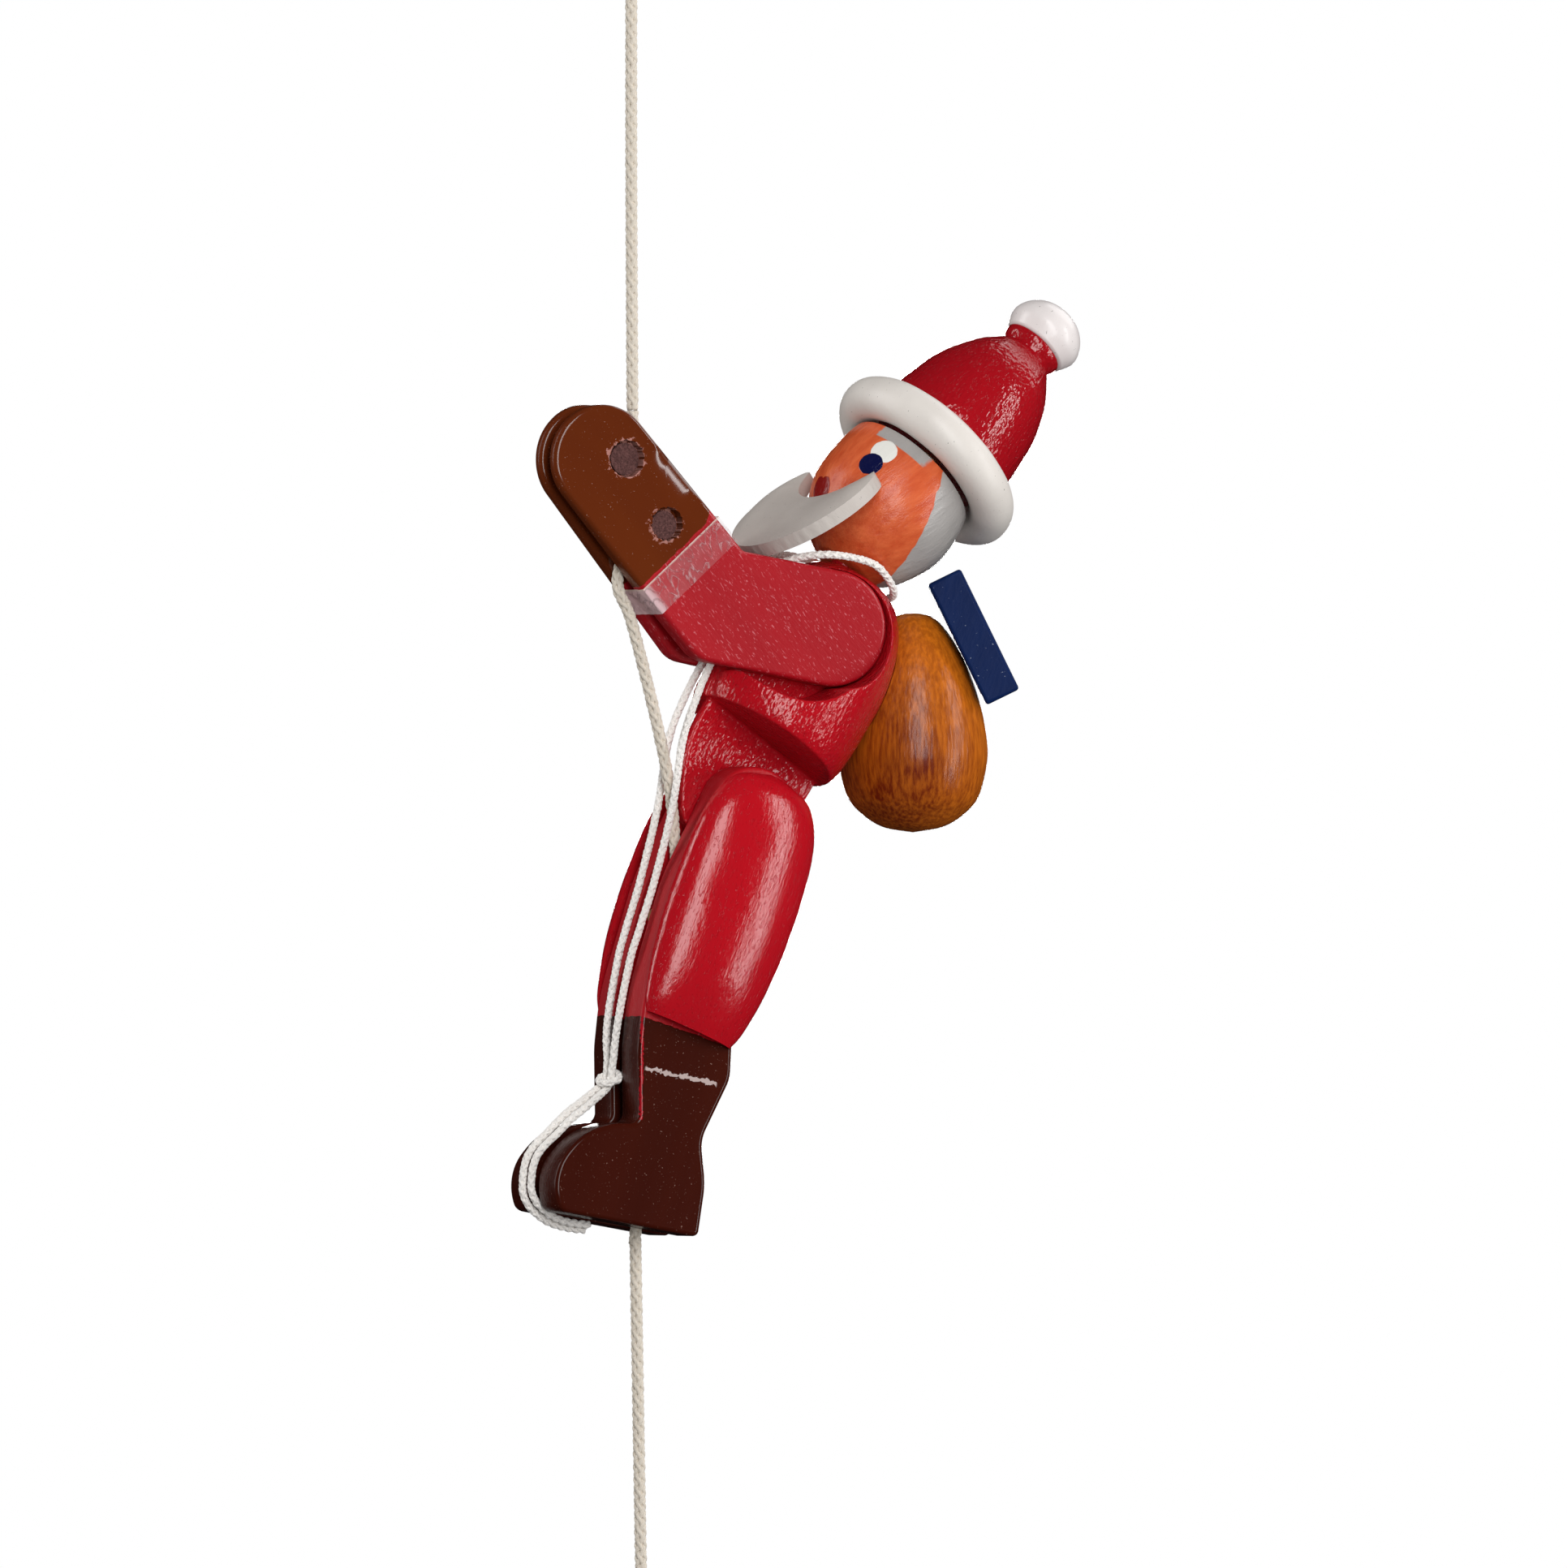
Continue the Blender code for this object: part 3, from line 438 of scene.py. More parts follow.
def set_dark_screen():
    """Tent of black felt round the studio that the camera looks through, so the paint's gloss stays deep."""
    bm = bmesh.new()
    bmesh.ops.create_icosphere(bm, subdivisions=4, radius=SCREEN_R)
    bmesh.ops.translate(bm, verts=bm.verts, vec=figure_middle)
    screen = placed(bm, "dark_screen")
    screen.visible_camera = False
    screen.visible_diffuse = False
    felt, _ = material("black_felt")
    screen.data.materials.append(dress(felt, {"Base Color": tone("#141414"), "Roughness": 1.0}))


set_world()
set_dark_screen()
bpy.context.scene.view_settings.view_transform = "Standard"


# Places on the figure that the paints follow
HAND_RUN = Vector((23.7, 0.0, -26.7)).normalized()
HAND_SIDE = Vector((-HAND_RUN.z, 0.0, HAND_RUN.x))
HAND_GRAIN = -41.6
LEG_GRAIN = 20.0
CUFF = (5.8, 0.0, 110.1)
BOOT_TOP = (-3.0, 0.0, 35.4)
BOOT_TOP_LEAN = 17.0
HEAD_CENTRE = (47.8, 118.0)
HEAD_LEAN = 39.0
HAT_CENTRE = (54.9, 124.7)
HAT_LEAN = 47.4
TORSO_HEM = (23.97, 79.4)
TORSO_LEAN = 35.0
SACK_X = 52.4
PEG_UPPER = (-3.48, 124.7)
PEG_LOWER = (3.4, 114.1)
THIGH_GRAIN = 22.0
BEARD_GRAIN = -56.0
PARCEL_GRAIN = 26.0


# Finishes. Each function returns one material; grain is the direction of the wood's fibres.
def along_grain(tree, lean, stretch):
    """Object coordinates in millimetres, drawn out by stretch along a grain that leans by lean degrees."""
    turned_in = node(tree, "Mapping", {"Vector": node(tree, "TexCoord", out="Object"),
                                       "Rotation": (0.0, math.radians(-lean), 0.0),
                                       "Scale": (1000.0, 1000.0, 1000.0)})
    return node(tree, "Mapping", {"Vector": turned_in, "Scale": (1.0, 1.0, 1.0 / stretch)})


def spots(tree, vector, size, share):
    """Mask of small uneven spots about this many millimetres across, on this share of the surface."""
    cloud = node(tree, "TexNoise", {"Vector": vector, "Scale": 1.0 / size, "Detail": 3.0, "Roughness": 0.6})
    return node(tree, "MapRange", {0: cloud, 1: 0.70 - share, 2: 0.74 - share})


def red_enamel(name, lean, pores, peel, base="#c2111e", deep="#a3101c"):
    """Red gloss enamel brushed on beech: long dents over the fibres, sunk pores and an orange-peel skin."""
    made, tree = material(name)
    fibres = along_grain(tree, lean, 5.0)
    cloud = node(tree, "TexNoise", {"Vector": fibres, "Scale": 0.10, "Detail": 2.0})
    dents = node(tree, "TexNoise", {"Vector": fibres, "Scale": 2.6, "Detail": 3.0, "Roughness": 0.62})
    pits = spots(tree, along_grain(tree, lean, 3.5), 0.30, 0.10)
    skin = node(tree, "TexNoise", {"Vector": along_grain(tree, lean, 1.6), "Scale": 1.5, "Detail": 1.0})
    normal = relief(tree, (dents, 0.9, 0.06 * pores), (pits, 0.8, -0.10 * pores), (skin, 1.0, 0.10 * peel))
    return dress(made, {"Base Color": coats(tree, deep, (cloud, base)), "Roughness": 0.12, "IOR": 1.5,
                        "Normal": normal})


def matt_paint(name, base, shade, roughness, depth, lean):
    """Thin matt paint on turned beech: soft cloudy tone, faint fibres and a few dark nicks."""
    made, tree = material(name)
    fibres = along_grain(tree, lean, 3.0)
    cloud = node(tree, "TexNoise", {"Vector": fibres, "Scale": 0.16, "Detail": 3.0})
    nicks = spots(tree, fibres, 0.35, 0.005)
    dents = node(tree, "TexNoise", {"Vector": fibres, "Scale": 1.4, "Detail": 4.0})
    return dress(made, {"Base Color": coats(tree, shade, (cloud, base), (nicks, "#6d6a66")),
                        "Roughness": roughness, "Normal": relief(tree, (dents, 0.6, depth))})


def distance_along(tree, origin, direction):
    """Millimetres from origin along a direction, as a value in the shader."""
    away = node(tree, "VectorMath", {0: node(tree, "TexCoord", out="Object"), 1: pt(*origin)},
                operation="SUBTRACT")
    return node(tree, "VectorMath", {0: away, 1: direction * 1000.0}, "Value", operation="DOT_PRODUCT")


def rim_mask(tree):
    """1 on the sawn edges of a board, 0 on its two faces."""
    outwards = node(tree, "SeparateXYZ", {0: node(tree, "TexCoord", out="Normal")}, "Y")
    flat = node(tree, "Math", {0: outwards}, operation="ABSOLUTE")
    return node(tree, "MapRange", {0: flat, 1: 0.75, 2: 0.35})


def two_tone_board(name, lean, red, pores, brown, shine, border, run, bend=None):
    """Sawn beech board, satin red above a painted border and glossy brown past it: red and brown are a
    shade and a tone, pores the tone and share of pale specks, partly grain flecks and partly painted
    glints of the satin paint, and bend lifts the border along a second direction."""
    made, tree = material(name)
    fibres = along_grain(tree, lean, 6.0)
    cloud = node(tree, "TexNoise", {"Vector": fibres, "Scale": 0.12, "Detail": 2.0})
    # Pale pink specks along the grain: partly the wood's flecks, partly painted glints of the satin paint's
    # texture
    pale_specks_and_glints = folded(tree, "MULTIPLY", spots(tree, along_grain(tree, lean, 4.0), 0.24, pores[1]), 0.55)
    dust = folded(tree, "MULTIPLY", spots(tree, along_grain(tree, lean, 1.0), 0.34, 0.022), 0.55)
    above = coats(tree, red[0], (cloud, red[1]), (pale_specks_and_glints, pores[0]))
    below = coats(tree, brown[0], (cloud, brown[1]), (dust, "#b08d80"))
    line = distance_along(tree, border, run)
    if bend:
        direction, start, end, lift = bend
        aside = distance_along(tree, border, direction)
        raised = node(tree, "MapRange", {0: aside, 1: start, 2: end, 4: lift})
        line = folded(tree, "SUBTRACT", line, raised)
    wave = node(tree, "TexNoise", {"Vector": along_grain(tree, lean, 1.0), "Scale": 0.6, "Detail": 2.0})
    line = folded(tree, "ADD", line, folded(tree, "MULTIPLY", wave, 0.7))
    painted = node(tree, "MapRange", {0: line, 1: 0.30, 2: 0.42})
    rim = rim_mask(tree)
    satin = node(tree, "MapRange", {0: painted, 3: 0.30, 4: 0.13})
    dents = node(tree, "TexNoise", {"Vector": fibres, "Scale": 2.2, "Detail": 4.0, "Roughness": 0.6})
    depth = node(tree, "MapRange", {0: painted, 3: 1.0, 4: 0.10})
    depth = folded(tree, "MAXIMUM", depth, folded(tree, "MULTIPLY", rim, 0.8))
    flow = node(tree, "TexNoise", {"Vector": along_grain(tree, lean, 2.0), "Scale": 0.22, "Detail": 1.0})
    normal = relief(tree, (folded(tree, "MULTIPLY", dents, depth), 0.8, 0.08), (flow, 0.3, 0.12),
                    (painted, 0.5, 0.08))
    return dress(made, {"Base Color": coats(tree, above, (painted, below)), "Normal": normal,
                        "Roughness": folded(tree, "ADD", satin, folded(tree, "MULTIPLY", rim, 0.14)),
                        "Specular IOR Level": node(tree, "MapRange", {0: rim, 3: shine, 4: 0.2})})


def rolled_edge(made, start, end, low, high):
    """The hand's enamel thins towards its upper edge between two places along it, so a lamp shows there."""
    tree = made.node_tree
    over_edge = node(tree, "MapRange", {0: distance_along(tree, CUFF, HAND_SIDE), 1: start, 2: end})
    along = distance_along(tree, CUFF, -HAND_RUN)
    ends = [node(tree, "MapRange", {0: along, 1: place, 2: full}, interpolation_type="SMOOTHSTEP")
            for place, full in ((low, low + 4.0), (high, high - 4.0))]
    fall = folded(tree, "MULTIPLY", over_edge, over_edge, *ends)
    dress(made, {"Normal": relief(tree, (fall, 1.0, -1.1), under=worn(made, "Normal"))})


def over(made, mask, colour):
    """Lays one more colour over a paint where the mask is 1."""
    dress(made, {"Base Color": coats(made.node_tree, worn(made, "Base Color"), (mask, colour))})


def chips_round(tree, centre, radius, seed):
    """Torn wood and paint in a ragged ring round a drilled hole."""
    away = node(tree, "VectorMath", {0: node(tree, "TexCoord", out="Object"), 1: pt(*in_plane(centre))},
                operation="SUBTRACT")
    flat = node(tree, "VectorMath", {0: away, 1: (1000.0, 0.0, 1000.0)}, operation="MULTIPLY")
    reach = node(tree, "VectorMath", {0: flat}, "Value", operation="LENGTH")
    close = node(tree, "MapRange", {0: reach, 1: radius + 1.7, 2: radius + 0.1, 3: 0.0, 4: 0.30})
    torn = node(tree, "TexNoise", {"Vector": flat, "Scale": 0.55, "Detail": 5.0, "Roughness": 0.75,
                                   "W": seed}, noise_dimensions="4D")
    return node(tree, "MapRange", {0: folded(tree, "ADD", torn, close), 1: 0.77, 2: 0.81})


def stroke(tree, start, end, width, wobble):
    """Mask of a ragged line on the left outer face, from start to end in (x, z)."""
    run = in_plane(end) - in_plane(start)
    length = run.length
    run.normalize()
    along = distance_along(tree, in_plane(start), run)
    aside = distance_along(tree, in_plane(start), Vector((-run.z, 0.0, run.x)))
    wave = node(tree, "TexNoise", {"Vector": along_grain(tree, 0.0, 1.0), "Scale": 0.9, "Detail": 4.0})
    shake = folded(tree, "MULTIPLY", folded(tree, "SUBTRACT", wave, 0.5), wobble)
    spread = node(tree, "Math", {0: folded(tree, "ADD", aside, shake)}, operation="ABSOLUTE")
    grit = node(tree, "TexNoise", {"Vector": along_grain(tree, 90.0, 1.5), "Scale": 2.4, "Detail": 3.0})
    inside = folded(tree, "SUBTRACT", grit, folded(tree, "MULTIPLY", spread, 0.42 / width))
    outer = distance_along(tree, (0.0, 0.0, 0.0), -UP_Y)
    return within(tree, (inside, 0.20, 0.28), (along, 0.0, 0.3), (along, length, length - 0.3),
                  (outer, 6.9, 7.2))


def end_grain(name):
    """Stained beech dowel cut across: a coarse mottle of open pores, no shine."""
    made, tree = material(name)
    grains = node(tree, "TexNoise", {"Vector": along_grain(tree, 0.0, 1.0), "Scale": 2.6, "Detail": 5.0,
                                     "Roughness": 0.75})
    sharp = node(tree, "MapRange", {0: grains, 1: 0.36, 2: 0.66})
    return dress(made, {"Base Color": coats(tree, "#43211e", (sharp, "#80524e")), "Roughness": 0.85,
                        "Normal": relief(tree, (sharp, 0.8, 0.25))})


def bare_beech(name):
    """Plain beech dowel: pale, dry, with fine fibres."""
    made, tree = material(name)
    cloud = node(tree, "TexNoise", {"Vector": along_grain(tree, 90.0, 8.0), "Scale": 1.5, "Detail": 3.0})
    return dress(made, {"Base Color": coats(tree, "#b58a5e", (cloud, "#d9b88c")), "Roughness": 0.7})


def amber_stain(name):
    """Amber stain under clear lacquer on turned maple: upright streaks, painted light to the back and top,
    painted shade towards the coat.
    """
    made, tree = material(name)
    streaks = node(tree, "TexNoise", {"Vector": along_grain(tree, 0.0, 9.0), "Scale": 1.5, "Detail": 4.0,
                                      "Roughness": 0.6})
    sharp = node(tree, "MapRange", {0: streaks, 1: 0.38, 2: 0.64})
    cloud = node(tree, "TexNoise", {"Vector": along_grain(tree, 0.0, 2.0), "Scale": 0.09, "Detail": 1.0})
    # Painted light and shade: the tone runs from dark towards the coat and bottom to paler orange away from
    # the coat and up
    lit = distance_along(tree, (SACK_X, 0.0, 80.0), Vector((0.85, 0.3, 0.4)))
    painted_light_and_shade = node(tree, "MapRange", {0: lit, 1: -9.0, 2: 9.0, 3: -0.18, 4: 0.42})
    tint = folded(tree, "ADD", folded(tree, "MULTIPLY", sharp, 0.40), folded(tree, "MULTIPLY", cloud, 0.55),
                  painted_light_and_shade)
    ripple = node(tree, "TexNoise", {"Vector": along_grain(tree, 0.0, 5.0), "Scale": 1.6, "Detail": 4.0})
    return dress(made, {"Base Color": coats(tree, "#6a1f08", (tint, "#d87519")), "Roughness": 0.26,
                        "Specular IOR Level": 0.3, "Normal": relief(tree, (ripple, 0.7, 0.12))})


def blue_enamel(name):
    """Dark blue semi-gloss enamel on a small sawn block: deep, even, a few pale chips."""
    made, tree = material(name)
    fibres = along_grain(tree, PARCEL_GRAIN, 4.0)
    cloud = node(tree, "TexNoise", {"Vector": fibres, "Scale": 0.2, "Detail": 2.0})
    chips = spots(tree, along_grain(tree, PARCEL_GRAIN, 1.0), 0.5, 0.0)
    dents = node(tree, "TexNoise", {"Vector": fibres, "Scale": 1.6, "Detail": 3.0})
    return dress(made, {"Base Color": coats(tree, "#0a1940", (cloud, "#10295c"), (chips, "#8e98ac")),
                        "Roughness": 0.4, "Specular IOR Level": 0.06,
                        "Normal": relief(tree, (dents, 0.4, 0.12))})


def clear_film(name):
    """Thin clear film gone milky: long creases, a pale cut edge and a gathered, whiter front."""
    made, tree = material(name)
    folds = node(tree, "TexNoise", {"Vector": along_grain(tree, HAND_GRAIN + 20.0, 1.8), "Scale": 0.42,
                                    "Detail": 2.0, "Distortion": 0.6})
    off = node(tree, "Math", {0: folded(tree, "SUBTRACT", folds, 0.5)}, operation="ABSOLUTE")
    crease = node(tree, "MapRange", {0: off, 1: 0.022, 2: 0.004})
    cut = node(tree, "MapRange", {0: distance_along(tree, CUFF, HAND_RUN), 1: 0.9, 2: 0.5})
    front = node(tree, "MapRange", {0: distance_along(tree, CUFF, HAND_SIDE), 1: -7.4, 2: -8.6})
    milky = node(tree, "TexNoise", {"Vector": along_grain(tree, 0.0, 1.0), "Scale": 0.35, "Detail": 3.0})
    thin = node(tree, "MapRange", {0: milky, 1: 0.3, 2: 0.7, 3: 0.03, 4: 0.07})
    thick = [folded(tree, "MULTIPLY", mask, share)
             for mask, share in ((crease, 0.26), (cut, 0.6), (front, 0.62))]
    return dress(made, {"Base Color": coats(tree, "#f0cfd2", (cut, "#f3e2d3")), "Roughness": 0.2,
                        "Alpha": folded(tree, "MAXIMUM", thin, *thick),
                        "Normal": relief(tree, (crease, 0.8, 0.3))})


def cotton(name, base, shade):
    """Bleached cotton yarn: soft and dry, with a cloudy tone and fine hairs."""
    made, tree = material(name)
    place = along_grain(tree, 0.0, 2.0)
    cloud = node(tree, "TexNoise", {"Vector": place, "Scale": 1.2, "Detail": 4.0, "Roughness": 0.7})
    hairs = node(tree, "TexNoise", {"Vector": place, "Scale": 6.0, "Detail": 2.0})
    return dress(made, {"Base Color": coats(tree, shade, (cloud, base)), "Roughness": 0.95,
                        "Sheen Weight": 0.2, "Normal": relief(tree, (hairs, 0.6, 0.15))})


# The painted face
EYE_WHITE = (42.4, 7.9, 126.1)
EYE_WHITE_R = 2.15
PUPIL = (40.1, 7.6, 124.1)
PUPIL_R = 1.95
NOSE = (35.3, 0.9, 120.3)
NOSE_R = 1.55
HAIR_LINE = 1.9
HAIR_SLOPE = 0.32
BROW_HEIGHT = -6.3
BROW_FROM = 5.2
BROW_TO = 11.9


def near_point(tree, point, reach, tall=1.0):
    """Mask of a painted spot of this radius in millimetres on both sides of the middle plane."""
    place = node(tree, "TexCoord", out="Object")
    x, y, z = (node(tree, "SeparateXYZ", {0: place}, axis) for axis in "XYZ")
    both = node(tree, "CombineXYZ", {"X": x, "Y": node(tree, "Math", {0: y}, operation="ABSOLUTE"), "Z": z})
    away = node(tree, "VectorMath", {0: both, 1: pt(*point)}, operation="SUBTRACT")
    scaled = node(tree, "VectorMath", {0: away, 1: (1000.0, 1000.0, 1000.0 / tall)}, operation="MULTIPLY")
    length = node(tree, "VectorMath", {0: scaled}, "Value", operation="LENGTH")
    wave = node(tree, "TexNoise", {"Vector": scaled, "Scale": 0.9, "Detail": 1.0})
    length = folded(tree, "ADD", length, folded(tree, "MULTIPLY", wave, 0.3))
    return node(tree, "MapRange", {0: length, 1: reach + 0.21, 2: reach + 0.13})


def face_paint(name):
    """Thick salmon paint brushed over a turned ball, grey hair behind, dots for the eyes and the nose."""
    made, tree = material(name)
    axis = leaning(HEAD_LEAN)
    cloud = node(tree, "TexNoise", {"Vector": along_grain(tree, HEAD_LEAN + 20.0, 5.0), "Scale": 0.5,
                                    "Detail": 5.0, "Roughness": 0.65})
    warm = node(tree, "MapRange", {0: cloud, 1: 0.30, 2: 0.68})
    ragged = node(tree, "TexNoise", {"Vector": along_grain(tree, 0.0, 1.0), "Scale": 0.5, "Detail": 2.0})
    back = distance_along(tree, in_plane(HEAD_CENTRE), across(axis) + axis * HAIR_SLOPE)
    hair = node(tree, "MapRange", {0: folded(tree, "ADD", back, ragged), 1: HAIR_LINE, 2: HAIR_LINE + 0.15})
    grey_cloud = node(tree, "TexNoise", {"Vector": along_grain(tree, HEAD_LEAN, 3.0), "Scale": 0.3,
                                         "Detail": 3.0})
    sideways = node(tree, "SeparateXYZ", {0: node(tree, "TexCoord", out="Object")}, "Y")
    sideways = folded(tree, "MULTIPLY", node(tree, "Math", {0: sideways}, operation="ABSOLUTE"), 1000.0)
    sideways = folded(tree, "ADD", sideways, ragged)
    under_brim = distance_along(tree, in_plane(HAT_CENTRE), leaning(HAT_LEAN))
    brow = within(tree, (under_brim, BROW_HEIGHT, BROW_HEIGHT + 0.2),
                  (sideways, BROW_FROM, BROW_FROM + 0.3), (sideways, BROW_TO, BROW_TO - 0.3))
    white = near_point(tree, EYE_WHITE, EYE_WHITE_R)
    pupil = near_point(tree, PUPIL, PUPIL_R)
    nose = near_point(tree, NOSE, NOSE_R, 1.2)
    colour = coats(tree, "#c24520", (warm, "#e06c3e"),
                   (folded(tree, "MAXIMUM", hair, brow), coats(tree, "#9a9693", (grey_cloud, "#b4b0ad"))),
                   (white, "#ecebe4"), (pupil, "#0f1340"), (nose, "#8a1a17"))
    gloss = node(tree, "MapRange", {0: folded(tree, "MAXIMUM", pupil, nose), 3: 0.28, 4: 0.16})
    dots = folded(tree, "MAXIMUM", white, pupil, nose)
    return dress(made, {"Base Color": colour, "Roughness": gloss, "Specular IOR Level": 0.4,
                        "Normal": relief(tree, (cloud, 0.6, 0.4), (dots, 0.5, 0.12))})


ARM_PAINT = two_tone_board("red_satin_and_brown_enamel", HAND_GRAIN, red=("#9a0c19", "#b5101e"),
                           pores=("#dc8088", 0.085), brown=("#59230f", "#692d0f"), shine=0.45,
                           border=CUFF, run=-HAND_RUN, bend=(HAND_SIDE, 6.5, 9.5, 1.8))
LEG_PAINT = two_tone_board("red_and_dark_brown_enamel", LEG_GRAIN, red=("#9c0e1a", "#bb0f1b"),
                           pores=("#d0707a", 0.03), brown=("#320f09", "#421409"), shine=0.26,
                           border=BOOT_TOP, run=-leaning(BOOT_TOP_LEAN))
rolled_edge(ARM_PAINT, start=4.5, end=8.5, low=2.5, high=15.5)
for centre, radius, seed, colour in ((PEG_UPPER, 2.9, 1.0, "#b07b71"), (PEG_LOWER, 2.7, 4.0, "#a8746a")):
    over(ARM_PAINT, chips_round(ARM_PAINT.node_tree, centre, radius, seed), colour)
# A ragged pale streak across the left boot's outer face, and a run of red paint down its front edge
PALE_STREAK = ((-1.9, 26.8), (11.6, 24.2), 0.5, 1.4)
RED_RUN = ((-2.2, 36.0), (-2.5, 18.4), 0.3, 0.6)
for line, colour in ((PALE_STREAK, "#b9a6a2"), (RED_RUN, "#a3121f")):
    over(LEG_PAINT, stroke(LEG_PAINT.node_tree, *line), colour)
JACKET_PAINT = red_enamel("red_enamel_on_coat", TORSO_LEAN, 0.9, 2.2)
THIGH_PAINT = red_enamel("red_enamel_on_thighs", THIGH_GRAIN, 0.7, 0.25)
HAT_PAINT = red_enamel("red_enamel_on_hat", HAT_LEAN, 0.4, 1.7, "#ae101b", "#940e18")
BEARD_PAINT = matt_paint("grey_distemper", "#cec6bf", "#bab1aa", 0.5, 0.12, BEARD_GRAIN)
BRIM_PAINT = matt_paint("off_white_paint", "#ece6df", "#d9d2cb", 0.42, 0.06, HAT_LEAN)
POMPOM_PAINT = matt_paint("white_paint", "#f0e9e7", "#e4dcda", 0.3, 0.06, HAT_LEAN)
FACE_PAINT = face_paint("face_paint")
PEG_FINISH = end_grain("stained_end_grain")
BEECH = bare_beech("bare_beech")
SACK_STAIN = amber_stain("amber_stain")
PARCEL_PAINT = blue_enamel("dark_blue_enamel")
FILM = clear_film("clear_creased_film")
CORD_COTTON = cotton("braided_cotton", "#e8dfd2", "#cdc2b1")
ELASTIC_COTTON = cotton("elastic_cotton_cover", "#fbf8f4", "#efe9e3")


# Cords
CORD_D = 2.1
ELASTIC_D = 1.4
FIT = 0.3
LOOP_TOP_Z = CORD_D / 2.0
LOOP_WIDTH = 7.6
LOOP_SHOULDER = 4.4
LOOP_CROWN = 2.0
LOOP_KNOT_TOP_Z = -8.6
KNOT_PITCH = 2.25
LOOP_KNOT_TURNS = 2.4
END_KNOT_TURNS = 2.2
END_KNOT_TOP_Z = -278.0
CORD_TAIL = 3.2
HANDS_IN_Z = 132.4
SOLE_OUT_Z = -0.9
SNUG = 0.12
YARN_SWING = 0.055


def even_route(stations, spacing):
    """Evenly spaced points, in metres, on a smooth curve through stations in millimetres."""
    dense = smooth_curve(stations, 24)
    lengths = [0.0]
    for a, b in zip(dense, dense[1:]):
        lengths.append(lengths[-1] + (b - a).length)
    count = max(2, round(lengths[-1] / spacing))
    points = []
    k = 0
    for i in range(count + 1):
        want = lengths[-1] * i / count
        while k < len(dense) - 2 and lengths[k + 1] < want:
            k += 1
        share = (want - lengths[k]) / max(lengths[k + 1] - lengths[k], 1e-9)
        points.append(pt(*dense[k].lerp(dense[k + 1], min(max(share, 0.0), 1.0))))
    return points


def frames_along(points):
    """Two directions square to the route at each point, carried along it without twisting."""
    ahead = [(b - a).normalized() for a, b in zip(points, points[1:])]
    ahead.append(ahead[-1])
    first = UP_Y.cross(ahead[0])
    first = (first if first.length > 1e-3 else Vector((1.0, 0.0, 0.0))).normalized()
    sides = []
    for way in ahead:
        first = (first - way * first.dot(way)).normalized()
        sides.append((first.copy(), way.cross(first).normalized()))
    return sides


def yarn_curve(lines, radius, name):
    """Turns lines of points into round yarns and returns them as one bmesh."""
    curve = bpy.data.curves.new(name, "CURVE")
    curve.dimensions = "3D"
    curve.bevel_depth = radius
    curve.bevel_resolution = 1
    curve.use_fill_caps = True
    for line in lines:
        spline = curve.splines.new("POLY")
        spline.points.add(len(line) - 1)
        for target, point in zip(spline.points, line):
            target.co = (*point, 1.0)
    holder = bpy.data.objects.new(name, curve)
    bpy.context.scene.collection.objects.link(holder)
    return evaluated(holder)


def braid(name, points, make, body=None, nodes=(), start=0.0):
    """Braided cord: half the yarns wind each way, each over and under the next, round a plain core."""
    diameter, yarns, yarn_share, pitch, yarn_cotton, uneven = make
    half = yarns // 2
    yarn = diameter * yarn_share
    swing = diameter * YARN_SWING
    middle = diameter / 2.0 - yarn - swing
    sides = frames_along(points)
    lines = []
    walked = [start]
    for a, b in zip(points, points[1:]):
        walked.append(walked[-1] + (b - a).length)
    for way in (1.0, -1.0):
        for k in range(half):
            line = []
            for point, (first, second), s in zip(points, sides, walked):
                turn = way * FULL_TURN * s / pitch + FULL_TURN * k / half
                reach = middle + way * swing * math.cos(FULL_TURN * half * s / pitch)
                if uneven:
                    reach *= 1.0 + uneven * noise.noise(Vector((s * 700.0, k * 3.1, way * 5.0)))
                line.append(point + first * (reach * math.cos(turn)) + second * (reach * math.sin(turn)))
            lines.append(line)
    bm = yarn_curve(lines, yarn, name)
    core_line = points[::2] + ([points[-1]] if len(points) % 2 == 0 else [])
    core = yarn_curve([core_line], middle, name + "_core")
    holder = bpy.data.meshes.new("core")
    core.to_mesh(holder)
    core.free()
    bm.from_mesh(holder)
    return finish(bm, name, yarn_cotton, body, nodes, 180.0)


def lowered(stations):
    """Points given below the loop's top, moved into the figure's own heights."""
    return [(x, y, z - SOLE_Z) for x, y, z in stations]


def coil(radius, top, turns, centre_x):
    """Turns of cord wound close under one another, which stand for a pulled-tight knot."""
    per_turn = 16
    stations = []
    for i in range(int(turns * per_turn) + 1):
        angle = FULL_TURN * i / per_turn
        fall = KNOT_PITCH * i / per_turn
        stations.append((centre_x + radius * math.cos(angle), radius * math.sin(angle), top - fall))
    return lowered(stations)


def path_length(points):
    """Length of a line of points, in metres."""
    return sum((b - a).length for a, b in zip(points, points[1:]))


# How each cord is braided: its diameter, the number of yarns, a yarn's radius as a share of the
# diameter, the length of one turn, the cotton, and how unevenly the yarns lie
CORD_MAKE = (CORD_D * MM, 8, 0.175, 8.4 * MM, CORD_COTTON, 0.0)
ELASTIC_MAKE = (ELASTIC_D * MM, 6, 0.19, 4.2 * MM, ELASTIC_COTTON, 0.22)
CORD_SPACING = 0.34
ELASTIC_SPACING = 0.30

